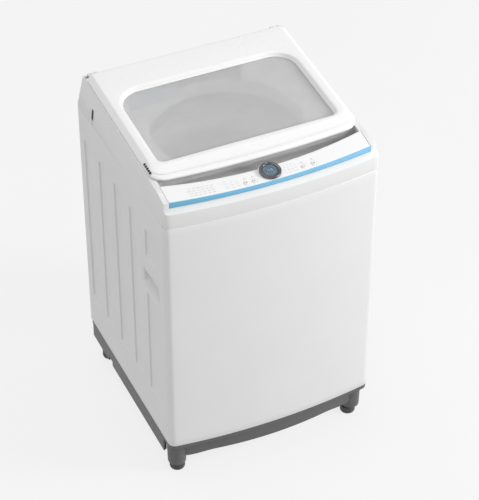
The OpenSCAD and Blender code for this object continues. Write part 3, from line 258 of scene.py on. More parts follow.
LOOKS = dict(
    painted_steel=dict(color=grey(0.8), rough=0.42, vary=0.01, spots=140.0, grain=1.6, depth=0.012),
    cup_plastic=dict(color=grey(0.76), rough=0.45, grain=0.7),
    base_plastic=dict(color=grey(0.105), rough=0.5, vary=0.06, spots=20.0, grain=0.8, depth=0.05),
    foot_rubber=dict(color=(0.055, 0.055, 0.057), rough=0.36, vary=0.15, spots=9.0, grain=0.9, depth=0.08),
    bright_steel=dict(color=(0.62, 0.62, 0.63), rough=0.32, vary=0.06, spots=6.0, metal=1.0),
    frame_plastic=dict(color=grey(0.8), rough=0.34, vary=0.008, spots=120.0, grain=1.1, depth=0.008),
    panel_plastic=dict(color=grey(0.86), rough=0.26, vary=0.006, spots=70.0, grain=1.2, depth=0.006),
    recess_grey=dict(color=(0.46, 0.46, 0.465), rough=0.55, vary=0.04, spots=14.0, grain=0.7, depth=0.04),
    dial_metal=dict(color=(0.16, 0.16, 0.17), rough=0.28, vary=0.12, spots=5.0, metal=0.9, grain=0.4),
    display_glass=dict(color=(0.1, 0.15, 0.19), rough=0.12, vary=0.15, spots=12.0, coat=0.5),
    button_grey=dict(color=grey(0.82), rough=0.35, vary=0.05, spots=4.0),
    button_red=dict(color=(0.82, 0.8, 0.79), rough=0.35, vary=0.08, spots=3.0),
    case_plastic=dict(color=(0.09, 0.09, 0.095), rough=0.5, vary=0.08, spots=12.0, grain=0.7, depth=0.05),
    lid_plastic=dict(color=grey(0.86), rough=0.3, vary=0.006, spots=110.0, grain=1.2, depth=0.008),
    bumper_rubber=dict(color=grey(0.1), rough=0.7, vary=0.1, spots=3.0),
    drawer_plastic=dict(color=(0.42, 0.52, 0.62), rough=0.34, vary=0.04, spots=18.0),
    housing_plastic=dict(color=grey(0.7), rough=0.42, spots=25.0),
    valve_plastic=dict(color=(0.05, 0.14, 0.42), rough=0.4, vary=0.08, spots=9.0, grain=0.7, depth=0.04),
    tub_plastic=dict(color=grey(0.72), rough=0.48, vary=0.03, spots=60.0, grain=1.0, depth=0.04),
    drum_steel=dict(color=(0.7, 0.71, 0.72), rough=0.36, vary=0.08, spots=7.0, metal=0.5, grain=0.8,
                    streak=(1.0, 1.0, 0.06)),
    drum_plastic=dict(color=(0.5, 0.51, 0.53), rough=0.42, vary=0.03, spots=30.0),
    balance_plastic=dict(color=grey(0.84), rough=0.3),
    filter_plastic=dict(color=(0.58, 0.62, 0.66), rough=0.32, vary=0.04, spots=22.0, grain=0.7),
    shaft_steel=dict(color=(0.5, 0.5, 0.51), rough=0.26, vary=0.08, spots=4.0, metal=1.0,
                     streak=(0.1, 0.1, 1.0)),
    seal_rubber=dict(color=grey(0.02), rough=0.65, vary=0.15, spots=6.0, grain=0.8, depth=0.06),
    clutch_metal=dict(color=(0.48, 0.48, 0.49), rough=0.46, vary=0.08, spots=9.0, metal=0.9, grain=1.4, depth=0.12),
    motor_paint=dict(color=(0.1, 0.13, 0.17), rough=0.42, vary=0.1, spots=24.0, grain=1.5, depth=0.05),
    capacitor_case=dict(color=(0.6, 0.6, 0.61), rough=0.3, vary=0.05, spots=12.0, metal=0.9,
                        streak=(1.0, 1.0, 0.08)),
    valve_grey=dict(color=(0.17, 0.18, 0.2), rough=0.48, vary=0.06, spots=14.0, grain=0.8, depth=0.04),
    hose_rubber=dict(color=(0.08, 0.08, 0.085), rough=0.6, vary=0.12, spots=12.0, grain=1.2, depth=0.08),
    spring_steel=dict(color=(0.34, 0.34, 0.35), rough=0.36, vary=0.12, spots=8.0, metal=0.95),
)

MATERIALS = {name: plain(name, **look) for name, look in LOOKS.items()}
MATERIALS["galvanised_steel"] = spangled("galvanised_steel", (0.62, 0.63, 0.64))
MATERIALS["trim_blue"] = trim_material()
MATERIALS["lid_glass"] = glass_material()
MATERIALS["circuit_board"] = board_material()
MARK_GREY = plain("mark_grey", (0.4, 0.41, 0.42), 0.5, vary=0.06, spots=2.0)
MARK_BLUE = plain("mark_blue", (0.36, 0.62, 0.78), 0.5, vary=0.06, spots=2.0)
MARK_RED = plain("mark_red", (0.55, 0.06, 0.05), 0.45, vary=0.06, spots=2.0)
# Near-black material for blocks set where the head's slot and groove and the lid's vents show only shade: painted
# shade.
PAINTED_SHADE_FILL = plain("painted_shade_fill", (0.03, 0.03, 0.03), 0.7, vary=0.1, spots=3.0)
SLOT_OF = {s["node"]: s["material_slot"] for s in frame["record"]["subparts"]}
BODY_OF = {n: b for b, members in frame["record"]["behaviour"]["bodies"].items() for n in members}


# ---------------- mesh helpers

WELD = 2e-6


def mesh_of(name, verts, faces):
    """A mesh in metres from points in mm."""
    mesh = bpy.data.meshes.new(name)
    mesh.from_pydata([(x * MM, y * MM, z * MM) for x, y, z in verts], [], faces)
    return mesh


def piece(name, verts, faces, body="root", slot=None, material=None, replaces=(), sharp=35.0):
    """A new mesh piece from points in mm."""
    mesh = mesh_of(name, verts, faces)
    bm = bmesh.new()
    bm.from_mesh(mesh)
    bmesh.ops.remove_doubles(bm, verts=bm.verts, dist=WELD / 2.0)
    bmesh.ops.recalc_face_normals(bm, faces=bm.faces)
    bm.to_mesh(mesh)
    bm.free()
    return settle(bpy.data.objects.new(name, mesh), body, slot, material, replaces, sharp)


def settle(obj, body, slot, material=None, replaces=(), sharp=35.0):
    if obj.name not in scene.collection.objects:
        scene.collection.objects.link(obj)
    obj.data.materials.clear()
    obj.data.materials.append(material or MATERIALS[slot])
    obj.data.shade_smooth()
    obj.data.set_sharp_from_angle(angle=math.radians(sharp))
    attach(obj, body)
    if replaces:
        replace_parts(obj, *replaces)
    return obj


def anywhere(point):
    return True


def rounded_copy(node, passes, flat=0.6, angle=28.0, segments=2):
    """A copy of a CAD node with its edges rounded, in its place. Each pass is a width and a test of an edge's ends."""
    bm = bmesh.new()
    bm.from_mesh(frame["nodes"][node].data)
    bmesh.ops.remove_doubles(bm, verts=bm.verts, dist=WELD)
    bmesh.ops.dissolve_limit(bm, angle_limit=math.radians(flat), verts=bm.verts, edges=bm.edges)
    for width, test in passes:
        edges = [e for e in bm.edges if e.is_manifold and e.calc_face_angle(0.0) > math.radians(angle)
                 and all(test(v.co / MM) for v in e.verts)]
        bmesh.ops.bevel(bm, geom=edges, offset=width * MM, segments=segments, profile=0.5, affect="EDGES",
                        clamp_overlap=True)
    mesh = bpy.data.meshes.new(node + "_skin")
    bm.to_mesh(mesh)
    bm.free()
    settle(bpy.data.objects.new(mesh.name, mesh), BODY_OF[node], SLOT_OF[node], replaces=[node])


def sheet_metal(obj, thickness, offset=-1.0):
    """Give an open sheet its thickness in mm; offset -1 puts it behind the surface."""
    made = obj.modifiers.new("thickness", "SOLIDIFY")
    made.thickness, made.offset = thickness * MM, offset


def bored(obj, cutter, sharp=45.0):
    """Cut a closed shape, given as points and faces in mm, out of a piece."""
    mesh = mesh_of("cutter", *cutter)
    tool = bpy.data.objects.new("cutter", mesh)
    scene.collection.objects.link(tool)
    cut = obj.modifiers.new("bores", "BOOLEAN")
    cut.operation, cut.solver, cut.object = "DIFFERENCE", "EXACT", tool
    bpy.context.view_layer.update()
    result = bpy.data.meshes.new_from_object(obj.evaluated_get(bpy.context.evaluated_depsgraph_get()))
    obj.modifiers.clear()
    obj.data = result
    result.name = obj.name
    result.shade_smooth()
    result.set_sharp_from_angle(angle=math.radians(sharp))
    bpy.data.objects.remove(tool)
    bpy.data.meshes.remove(mesh)


def grid_faces(rows, columns, wrap_rows=False, wrap_columns=False):
    faces = []
    for i in range(rows if wrap_rows else rows - 1):
        for j in range(columns if wrap_columns else columns - 1):
            a, b = i * columns + j, i * columns + (j + 1) % columns
            c, d = ((i + 1) % rows) * columns + (j + 1) % columns, ((i + 1) % rows) * columns + j
            faces.append((a, b, c, d))
    return faces


def end_caps(total, count):
    """A face on the first and the last ring of count points."""
    return [tuple(range(count)), tuple(range(total - 1, total - 1 - count, -1))]


def loft(rings, wrap=False, caps=(False, False)):
    """Points and faces through closed rings of the same count; wrap joins the last ring to the first."""
    count = len(rings[0])
    verts = [p for ring in rings for p in ring]
    faces = grid_faces(len(rings), count, wrap_rows=wrap, wrap_columns=True)
    faces += [cap for cap, wanted in zip(end_caps(len(verts), count), caps) if wanted]
    return verts, faces


def lathe(profile, n=96, wave=None):
    """A closed [r, z] profile turned about Z. wave(angle, r, z) may change each radius."""
    rings = []
    for i in range(n):
        a = 2.0 * math.pi * i / n
        ring = []
        for r, z in profile:
            rr = wave(a, r, z) if wave else r
            ring.append((rr * math.cos(a), rr * math.sin(a), z))
        rings.append(ring)
    return loft(rings, wrap=True)


def combined(*parts):
    verts, faces = [], []
    for v, f in parts:
        faces += [tuple(i + len(verts) for i in face) for face in f]
        verts += v
    return verts, faces


def mirrored(part):
    return [(-x, y, z) for x, y, z in part[0]], [tuple(reversed(f)) for f in part[1]]


def moved(part, by):
    return [(x + by[0], y + by[1], z + by[2]) for x, y, z in part[0]], part[1]


def turned(part, matrix):
    return [tuple(matrix @ Vector(p)) for p in part[0]], part[1]


def arc(cx, cy, r, start, end, n):
    turns = [math.radians(start + (end - start) * i / n) for i in range(n + 1)]
    return [(cx + r * math.cos(a), cy + r * math.sin(a)) for a in turns]


def ring_of(count, part):
    """The same shape set count times round the vertical axis."""
    return [turned(part, Matrix.Rotation(2.0 * math.pi * k / count, 4, "Z")) for k in range(count)]


def four_corners(x0, x1, y0, y1, r, n):
    return (arc(x1 - r, y1 - r, r, 0, 90, n) + arc(x0 + r, y1 - r, r, 90, 180, n)
            + arc(x0 + r, y0 + r, r, 180, 270, n) + arc(x1 - r, y0 + r, r, 270, 360, n))


def between(a, b, n):
    return [a + (b - a) * i / n for i in range(n + 1)]


def smooth(t):
    t = min(1.0, max(0.0, t))
    return t * t * (3.0 - 2.0 * t)


def rounded_box(low, high, radius):
    """A box with rounded vertical and horizontal edges."""
    steps = [(0.0, radius), (radius * 0.3, radius * 0.3), (radius, 0.0)]
    levels = [(low[2] + lift, inset) for lift, inset in steps]
    levels += [(high[2] - lift, inset) for lift, inset in reversed(steps)]
    rings = []
    for z, inset in levels:
        r = max(radius - inset * 0.5, radius * 0.3)
        loop = four_corners(low[0] + inset, high[0] - inset, low[1] + inset, high[1] - inset, r, 3)
        rings.append([(x, y, z) for x, y in loop])
    return loft(rings, caps=(True, True))


# ---------------- sizes read from the frame

def mm_box(node):
    low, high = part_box(node)
    return low / MM, high / MM


CAB_LOW, CAB_HIGH = mm_box("cabinet")
HALF_W, CAB_BACK, FRONT_Y = CAB_HIGH.x, CAB_HIGH.y, CAB_LOW.y
SEAM_LOW, SEAM_HIGH = CAB_LOW.z, CAB_HIGH.z
BOW, CORNER_R = 22.0, 18.0
BOW_R = (HALF_W ** 2 + BOW ** 2) / (2.0 * BOW)
BOW_CY = FRONT_Y + BOW_R
LID_SLOPE = math.radians(4.0)
PANEL_SLOPE = math.radians(10.0)
TOP_Z = mm_box("lid_frame")[1].z
LID_BACK = 231.0
PANEL_REF = (-181.5, 867.8)
DIAL_Y = FRONT_Y + 45.0
ON_LID = Matrix.Translation((0.0, LID_BACK, TOP_Z)) @ Matrix.Rotation(LID_SLOPE, 4, "X")


def panel_z(y):
    return PANEL_REF[1] + math.tan(PANEL_SLOPE) * (y - PANEL_REF[0])


def on_panel(x, y):
    return Matrix.Translation((x, y, panel_z(y))) @ Matrix.Rotation(PANEL_SLOPE, 4, "X")


def bow_y(x, inset=0.0):
    return BOW_CY - math.sqrt((BOW_R - inset) ** 2 - x * x)


def filled(values, step):
    """The sorted values, with more between them so that no gap is over step."""
    values = sorted(set(round(v, 3) for v in values))
    out = [values[0]]
    for a, b in zip(values, values[1:]):
        n = max(1, math.ceil((b - a) / step))
        out += [a + (b - a) * i / n for i in range(1, n + 1)]
    return out


# ---------------- cabinet

BEAD_W, BEAD_DEPTH = 55.0, 3.0
BEAD_BACKS = [CAB_BACK - 33.0 - 95.0 * i for i in range(5)]
BEAD_LOW, BEAD_HIGH = SEAM_LOW + 102.0, SEAM_HIGH - 79.0
GRIP_Y = (FRONT_Y + BOW + 45.0, FRONT_Y + BOW + 135.0)
GRIP_Z = (SEAM_LOW + 684.0 * 0.697 - 45.0, SEAM_LOW + 684.0 * 0.697)
END_FLANK = 5.0
FOLD_Y = FRONT_Y + BOW + 3.2


def beads():
    """(rear edge, low end, high end) of each pressed bead; the front one stops round the handle."""
    made = [(back, BEAD_LOW, BEAD_HIGH) for back in BEAD_BACKS[:4]]
    made.append((BEAD_BACKS[4], BEAD_LOW, GRIP_Z[0] - 18.0))
    made.append((BEAD_BACKS[4], GRIP_Z[1] + 45.0, BEAD_HIGH))
    return made


def press_depth(y, z):
    """How far the side sheet is pressed in: a crisp rear edge to each bead, and a long ramp to its front."""
    depth = 0.0
    for back, low, high in beads():
        painted_light_share = min(smooth((back - y) / 0.9), smooth((y - back + BEAD_W) / 14.0))
        along = min(smooth((z - low) / END_FLANK), smooth((high - z) / END_FLANK))
        crease = 2.6 * max(0.0, 1.0 - abs(y - back + 1.5) / 1.5)
        depth = max(depth, (BEAD_DEPTH * painted_light_share + crease) * along)
    rim = max(GRIP_Y[0] - 6.0 - y, y - GRIP_Y[1] - 6.0, GRIP_Z[0] - 6.0 - z, z - GRIP_Z[1] - 6.0)
    fold = 1.6 * max(0.0, 1.0 - abs(y - FOLD_Y) / 1.3)
    return max(depth, fold, 0.9 * (1.0 - smooth(rim / 4.0)))


def unit(degrees):
    return math.cos(math.radians(degrees)), math.sin(math.radians(degrees))


def side_path(back, front_r, back_r, flange, side_ys):
    """Points and outward normals of the right half in plan, from the rear to the middle of the front."""
    w, r = HALF_W, BOW_R
    cx = w - front_r
    cy = BOW_CY - math.sqrt((r - front_r) ** 2 - cx * cx)
    turn = math.degrees(math.atan2(cy - BOW_CY, cx))
    path = [(x, back, 0.0, 1.0) for x in between(w - back_r - flange, w - back_r, 4)[:-1]]
    for a in between(90.0, 0.0, 4):
        n = unit(a)
        path.append((w - back_r + back_r * n[0], back - back_r + back_r * n[1], *n))
    path += [(w, y, 1.0, 0.0) for y in side_ys if cy + 0.3 < y < back - back_r - 0.5][::-1]
    for a in between(0.0, turn, 10):
        n = unit(a)
        path.append((cx + front_r * n[0], cy + front_r * n[1], *n))
    for a in between(turn, -90.0, 36)[1:]:
        n = unit(a)
        path.append((r * n[0], BOW_CY + r * n[1], *n))
    return path


def cabinet():
    """Sheet wrapped round the front and sides, with rows and columns where its beads, fold and grips need them."""
    ends = (-1.0, 0.0, 0.7, 1.4, 2.1, 2.8, 3.5, 4.2, 5.2)
    ys, zs = {GRIP_Y[0] - 8.0, *GRIP_Y, GRIP_Y[1] + 8.0, -250.0, 270.0}, {*GRIP_Z, SEAM_LOW + 1.0, SEAM_HIGH - 3.0}
    ys |= {FOLD_Y + k for k in (-1.4, -0.7, 0.0, 0.7, 1.4)}
    for back, low, high in beads():
        ys |= {back + k for k in (0.4, 0.0, -0.4, -0.9, -1.5, -2.1, -2.6, -3.0, -3.6)}
        ys |= {back - BEAD_W + k for k in (-1.0, 0.0, 2.0, 4.0, 6.0, 8.0, 10.0, 12.0, 14.0, 15.0)}
        zs |= {low + k for k in ends} | {high - k for k in ends}
    for edge in (*GRIP_Z, *GRIP_Y):
        spread = {edge + k for k in (-10.0, -8.0, -6.0, -4.0, -2.0, 2.0, 4.0, 6.0, 8.0, 10.0)}
        (zs if edge in GRIP_Z else ys).update(spread)
    half = side_path(CAB_BACK, CORNER_R, 4.0, 22.0, filled(ys, 16.0))
    path = half + [(-x, y, -nx, ny) for x, y, nx, ny in half[-2::-1]]
    rows = [(SEAM_LOW, 1.2), (SEAM_LOW + 0.35, 0.35)] + [(z, 0.0) for z in filled(zs, 22.0)]
    rows += [(SEAM_HIGH - 1.7, 0.5), (SEAM_HIGH - 0.8, 1.6), (SEAM_HIGH, 2.2)]
    verts = []
    for z, inset in rows:
        for x, y, nx, ny in path:
            depth = inset + (press_depth(y, z) if abs(nx) == 1.0 else 0.0)
            verts.append((x - nx * depth, y - ny * depth, z))
    faces = []
    for face in grid_faces(len(rows), len(path)):
        centre = [sum(verts[i][k] for i in face) / 4.0 for k in range(3)]
        in_grip = GRIP_Y[0] < centre[1] < GRIP_Y[1] and GRIP_Z[0] < centre[2] < GRIP_Z[1]
        if not (in_grip and abs(centre[0]) > HALF_W - 10.0):
            faces.append(face[::-1])
    obj = piece("cabinet_sheet", verts, faces, slot="painted_steel", replaces=["cabinet"], sharp=60.0)
    front = max(obj.data.polygons, key=lambda p: -p.center.y)
    if front.normal.y > 0.0:
        obj.data.flip_normals()
    sheet_metal(obj, 1.2)


def grip():
    """Moulded cup, deep under its top edge and running out to the surface at the bottom."""
    y0, y1 = GRIP_Y[0] + 0.4, GRIP_Y[1] - 0.4
    z0, z1 = GRIP_Z[0] + 0.4, GRIP_Z[1] - 0.4

    def ring(x, back, front, low, high, r):
        return [(x, y, z) for y, z in four_corners(back, front, low, high, r, 5)]

    x = HALF_W - 0.9
    lip = ((-2.0, 5.0, 6.0), (-0.2, 5.0, 6.0), (0.5, 4.0, 5.5), (0.7, 2.0, 5.0), (0.3, -0.5, 4.0))
    rings = [ring(x + out, y0 - g, y1 + g, z0 - g, z1 + g, r) for out, g, r in lip]
    deep, cup_floor = 24.0, z1 - 13.0
    for t in (0.06, 0.2, 0.4, 0.6, 0.8, 0.93, 1.0):
        side = 2.0 + 2.0 * t
        low = z0 + 1.5 + (cup_floor - z0 - 1.5) * t ** 1.1
        rings.append(ring(x - deep * t, y0 + side, y1 - side, low, z1 - 1.0 - 1.2 * t, 3.5))
    return loft(rings, caps=(False, True))


# ---------------- lid

def rounded_loop(half, y0, y1, front_r, back_r, bow=0.0):
    """A rectangle with round corners whose front runs out by bow, always with the same number of points."""
    n, side = 10, 14
    loop = arc(half - back_r, y1 - back_r, back_r, 0, 90, n)
    loop += [(x, y1) for x in between(half - back_r, back_r - half, side)[1:-1]]
    loop += arc(back_r - half, y1 - back_r, back_r, 90, 180, n)
    loop += [(-half, y) for y in between(y1 - back_r, y0 + front_r, side)[1:-1]]
    loop += arc(front_r - half, y0 + front_r, front_r, 180, 270, n)
    loop += [(x, y0) for x in between(front_r - half, half - front_r, 2 * side)[1:-1]]
    loop += arc(half - front_r, y0 + front_r, front_r, 270, 360, n)
    loop += [(half, y) for y in between(y0 + front_r, y1 - back_r, side)[1:-1]]
    middle = (y0 + y1) / 2.0
    out = []
    for x, y in loop:
        share = smooth((middle - y) / (middle - y0)) if y < middle else 0.0
        out.append((x, y - bow * share * (1.0 - (x / half) ** 2)))
    return out


def blended(a, b, t):
    return [(p[0] + (q[0] - p[0]) * t, p[1] + (q[1] - p[1]) * t) for p, q in zip(a, b)]


def lid_outer(grow):
    return rounded_loop(261.0 + grow, -405.0 - grow, 0.0 + grow, 34.0 + grow, 8.0 + grow, bow=13.5)


def lid_flat_edge(grow):
    return rounded_loop(248.5 + grow, -369.0 - grow, -2.0 + grow, 27.0 + grow, 5.0 + grow, bow=8.0)


def lid_window(grow):
    return rounded_loop(227.0 + grow, -358.0 - grow, -89.0 + grow, 18.0 + grow, 60.0 + grow)


def lid():
    """Lid frame from the window's inner edge over the top and rim and back along the underside, with its hinge eyes."""
    wall = 3.0

    def ring(loop, z):
        return [(x, y, z) for x, y in loop]

    slope = [(0.25, -3.0), (0.5, -6.0), (0.75, -9.0)]
    edge, rim = lid_flat_edge(0.0), lid_outer(-1.2)
    inner = ((-4.0, -9.98), (-3.3, -9.1), (-1.5, -7.4), (-0.2, -5.2), (0.8, -2.9), (2.2, -1.2), (4.6, -0.3), (8.0, 0.0))
    rings = [ring(lid_window(grow), z) for grow, z in inner]
    rings += [ring(blended(lid_window(8.0), lid_flat_edge(-3.0), 0.5), 0.0),
              ring(lid_flat_edge(-3.0), 0.0), ring(lid_flat_edge(-1.2), -0.12), ring(edge, -0.5)]
    rings += [ring(blended(edge, rim, t), -0.5 + (z + 0.5) * 0.8) for t, z in slope]
    outer = ((-1.2, -9.4), (-0.4, -10.2), (0.0, -11.4), (0.0, -13.9), (-0.5, -14.5), (-wall, -14.5),
             (-wall - 0.4, -12.6))
    rings += [ring(lid_outer(grow), z) for grow, z in outer]
    rings += [ring(blended(lid_outer(-wall), lid_flat_edge(-wall), t), z * 0.8 - wall) for t, z in reversed(slope)]
    back = ((10.0, -wall), (9.0, -wall - 1.0), (9.0, -9.6), (8.6, -9.98))
    rings += [ring(lid_flat_edge(-wall), -wall - 0.5)] + [ring(lid_window(grow), z) for grow, z in back]
    shell = turned(loft(rings, wrap=True), ON_LID)
    knuckles = []
    for side in (-1.0, 1.0):
        x, hinge_y, hinge_z = side * 240.0, LID_BACK + 11.0, TOP_Z - 16.0
        turn = Matrix.Translation((x, hinge_y, hinge_z)) @ Matrix.Rotation(math.pi / 2.0, 4, "Y")
        eye = lathe([(4.05, -5.5), (7.2, -5.5), (8.0, -4.7), (8.0, 4.7), (7.2, 5.5), (4.05, 5.5)], 40)
        arm = rounded_box((x - 5.5, LID_BACK - 5.0, hinge_z - 2.0), (x + 5.5, hinge_y - 4.0, hinge_z + 8.0), 1.2)
        knuckles += [turned(eye, turn), arm]
    verts, faces = combined(shell, *knuckles)
    piece("lid_shell", verts, faces, body="lid", slot="lid_plastic", replaces=["lid_frame"], sharp=40.0)


# ---------------- control panel

PANEL_HALF = 253.0
PANEL_EDGE_Y, PANEL_EDGE_R = FRONT_Y + 60.0, (250.0 ** 2 + 28.0 ** 2) / 56.0
LOBE_R = 28.0
TRIM_IN, TRIM_T = 15.5, 2.5
RECESS_BACK = LID_BACK - 396.0
BUTTON_XS = (-65.0, -45.0, 79.0, 105.0)  # two function buttons, start, power


def on_button(x):
    return on_panel(x, bow_y(x, TRIM_IN) + 14.0)


def panel_rear(x):
    """Rear edge of the panel, with the round lobe behind the dial run into it."""
    edge = PANEL_EDGE_Y + PANEL_EDGE_R - math.sqrt(PANEL_EDGE_R ** 2 - x * x)
    if abs(x) < LOBE_R:
        edge = max(edge, DIAL_Y + math.sqrt(LOBE_R ** 2 - x * x))
    return edge


def panel_columns():
    ends = [PANEL_HALF - k for k in (0.9, 1.1, 1.6, 2.6, 5.0)]
    return filled([-e for e in ends] + ends + [-30.0, 30.0] + between(-28.0, 28.0, 48), 6.0)


def plug(radius, n):
    return lathe([(0.01, -8.0), (radius, -8.0), (radius, 4.0), (0.01, 4.0)], n)


def control_panel():
    """Panel with rounded front and rear edges. Its cuts for buttons and dial leave a closed skin over them."""
    xs = panel_columns()
    inner = [(0.0, -2.9), (0.0, -0.8), (0.25, -0.22), (0.9, 0.0)]
    verts = []
    for x in xs:
        side = PANEL_HALF - 0.9 - abs(x)
        drop = 0.8 * (1.0 - min(1.0, side / 1.2)) ** 2
        front, rear = bow_y(x, TRIM_IN + TRIM_T + 0.1), panel_rear(x)
        stations = [(front + a, b) for a, b in inner]
        stations += [(front + (rear - front) * t, 0.0) for t in (0.12, 0.3, 0.5, 0.7, 0.88)]
        stations += [(rear - a, b) for a, b in reversed(inner)]
        for y, z in stations:
            verts.append((x, y, panel_z(y) + z - (drop if z > -2.0 else 0.0)))
    count = len(verts) // len(xs)
    faces = grid_faces(len(xs), count, wrap_columns=True) + end_caps(len(verts), count)
    panel = piece("panel_face", verts, faces, slot="panel_plastic", replaces=["control_panel"], sharp=45.0)
    bores = [turned(plug(5.35, 48), on_button(x)) for x in BUTTON_XS] + [turned(plug(12.0, 64), on_panel(0.0, DIAL_Y))]
    bored(panel, combined(*bores))


def trim_strip():
    low, verts, xs = SEAM_HIGH + 46.0, [], between(-PANEL_HALF, PANEL_HALF, 120)
    section = [(TRIM_T, 0.0, 0), (0.5, 0.0, 0), (0.0, 0.5, 0), (0.0, -1.2, 1), (0.25, -0.45, 1), (0.9, -0.1, 1),
               (TRIM_T, -0.05, 1)]
    for x in xs:
        for inset, z, top in section:
            y = bow_y(x, TRIM_IN + inset)
            verts.append((x, y, (panel_z(y) if top else low) + z))
    faces = grid_faces(len(xs), len(section), wrap_columns=True) + end_caps(len(verts), len(section))
    piece("blue_strip", verts, faces, slot="trim_blue", replaces=["trim_strip"], sharp=50.0)


def finger_recess():
    """Basin between the lid's lip and the panel, with a soft run from its walls to its floor."""
    floor_z, half, radius = SEAM_HIGH + 48.0, 249.8, 9.0
    ends = [side * (half - k) for side in (-1.0, 1.0) for k in (0.0, 2.0, 5.0, 9.0)]
    xs = filled(ends + [-30.0, 30.0] + between(-28.0, 28.0, 48), 7.0)
    shares = [0.0, 0.015, 0.04, 0.08, 0.13, 0.2, 0.3, 0.45, 0.6, 0.75, 0.87, 0.95, 1.0]
    verts = []
    for x in xs:
        front = panel_rear(x) + 0.15
        for t in shares:
            y = front + (RECESS_BACK - front) * t
            near = min(y - front, (RECESS_BACK - y) * 1.5, half - abs(x))
            top = min(panel_z(y), TOP_Z - math.tan(LID_SLOPE) * (LID_BACK - y) - 17.5) - 1.4
            rise = (1.0 - min(1.0, near / radius)) ** 2.2
            verts.append((x, y, floor_z + (top - floor_z) * rise))
    faces = grid_faces(len(xs), len(shares))
    obj = piece("finger_well", verts, faces, slot="recess_grey", replaces=["finger_recess"], sharp=60.0)
    sheet_metal(obj, 1.2)


INK = 0.12


def bars(marks):
    """Flat printed marks on the panel: (x, y, width, depth) each."""
    parts = []
    for x, y, w, d in marks:
        corners = [(sx * w / 2.0, sy * d / 2.0, z) for z in (0.0, INK)
                   for sx, sy in ((-1, -1), (1, -1), (1, 1), (-1, 1))]
        faces = [(3, 2, 1, 0), (4, 5, 6, 7), (0, 1, 5, 4), (1, 2, 6, 5), (2, 3, 7, 6), (3, 0, 4, 7)]
        parts.append(turned((corners, faces), on_panel(x, y)))
    return combined(*parts)


def circles(marks):
    """Thin printed rings on the panel: (x, y, radius, line width) each."""
    parts = []
    for x, y, r, w in marks:
        profile = [(r - w, 0.0), (r, 0.0), (r, INK), (r - w, INK)]
        parts.append(turned(lathe(profile, 32), on_panel(x, y)))
    return combined(*parts)


def front_line(x, back):
    """Depth of a printed row that runs back mm behind the blue strip."""
    return bow_y(x, TRIM_IN + TRIM_T) + back


def panel_print():
    """Generic marks only: rows of dashes, rings and dots where a control panel carries its legends."""
    dark = []
    for row in range(4):
        for k in range(6):
            x = -196.0 + 10.4 * k + (row % 2) * 1.5
            dark.append((x, front_line(x, 8.0 + 7.0 * row), 5.5 + (k * 7 + row * 3) % 4, 0.9))
    for row in range(3):
        for k in range(4):
            x = 34.0 + 9.0 * k
            dark.append((x, front_line(x, 9.0 + 8.0 * row), 4.5 + (k * 5 + row * 3) % 3, 0.8))
    for k, x in enumerate((-97.0, -85.0)):
        for row in range(3):
            dark.append((x, front_line(x, 9.0 + 7.5 * row), 5.0 + (row + k) % 2, 0.8))
    for x in BUTTON_XS:
        dark.append((x, front_line(x, 24.0), 7.0, 0.9))
        dark.append((x, front_line(x, 27.0), 4.0, 0.8))
    rings = [(x, bow_y(x, TRIM_IN) + 14.0, 7.2, 0.35) for x in BUTTON_XS]
    rings += [(-111.0, front_line(-111.0, 12.0), 3.4, 0.5), (-111.0, front_line(-111.0, 24.0), 3.4, 0.5)]
    blue = [(-112.0, front_line(-112.0, 31.0), 8.0, 0.9), (47.0, front_line(47.0, 32.0), 22.0, 0.9)]
    piece("panel_marks_grey", *combined(bars(dark), circles(rings[:4])), material=MARK_GREY)
    piece("panel_marks_blue", *combined(bars(blue), circles(rings[4:])), material=MARK_BLUE)


def dial():
    base = on_panel(0.0, DIAL_Y)
    ring_r, face_r = 25.5, 18.0

    def knurl(a, r, z):
        return r - 0.22 * (0.5 + 0.5 * math.cos(72.0 * a)) if r > ring_r - 0.6 and 1.2 < z < 4.6 else r

    profile = [(face_r + 0.6, 0.6), (ring_r - 0.6, 0.6), (ring_r, 1.1), (ring_r, 1.6), (ring_r, 4.2), (ring_r, 4.7),
               (ring_r - 0.5, 5.5), (ring_r - 1.4, 5.95), (ring_r - 3.4, 6.0), (face_r + 1.6, 5.3), (face_r + 0.7, 4.4)]
    piece("dial_collar", *turned(lathe(profile, 288, wave=knurl), base), body="dial", slot="dial_metal",
          replaces=["dial_ring"], sharp=50.0)
    pointer = rounded_box((-0.9, face_r + 2.2, 5.6), (0.9, ring_r - 1.4, 6.25), 0.3)
    piece("dial_pointer", *turned(pointer, base), body="dial", slot="dial_metal", material=MARK_BLUE)
    lens = [(0.01, 0.02), (face_r - 0.3, 0.02), (face_r, 0.4), (face_r, 3.0), (face_r - 0.35, 3.45),
            (face_r * 0.7, 3.62), (face_r * 0.35, 3.7), (0.01, 3.72)]
    piece("dial_lens", *turned(lathe(lens, 96), base), slot="display_glass", replaces=["dial_display"], sharp=50.0)
    strokes, digits = [], {"4": "bcfg", "8": "abcdefg"}
    place = {"a": (0, 3, 1), "b": (1.7, 1.5, 0), "c": (1.7, -1.5, 0), "d": (0, -3, 1), "e": (-1.7, -1.5, 0),
             "f": (-1.7, 1.5, 0), "g": (0, 0, 1)}
    for cx, digit in ((-4.2, "4"), (4.2, "8")):
        for key in digits[digit]:
            x, y, flat = place[key]
            w, d = (2.6, 0.55) if flat else (0.55, 2.4)
            strokes.append((cx + x * 1.1, y * 1.1 + 1.0, w * 1.1, d * 1.1))
    dots = ((-10.5, -6.5), (-5.2, -8.0), (0.0, -8.6), (5.2, -8.0), (10.5, -6.5))
    strokes += [(x, y, 1.2, 1.2) for x, y in dots]
    marks = [moved(rounded_box((-w / 2, -d / 2, 0.0), (w / 2, d / 2, 0.15), 0.06), (x, y, 3.62))
             for x, y, w, d in strokes]
    piece("dial_digits", *turned(combined(*marks), base), material=MARK_BLUE)


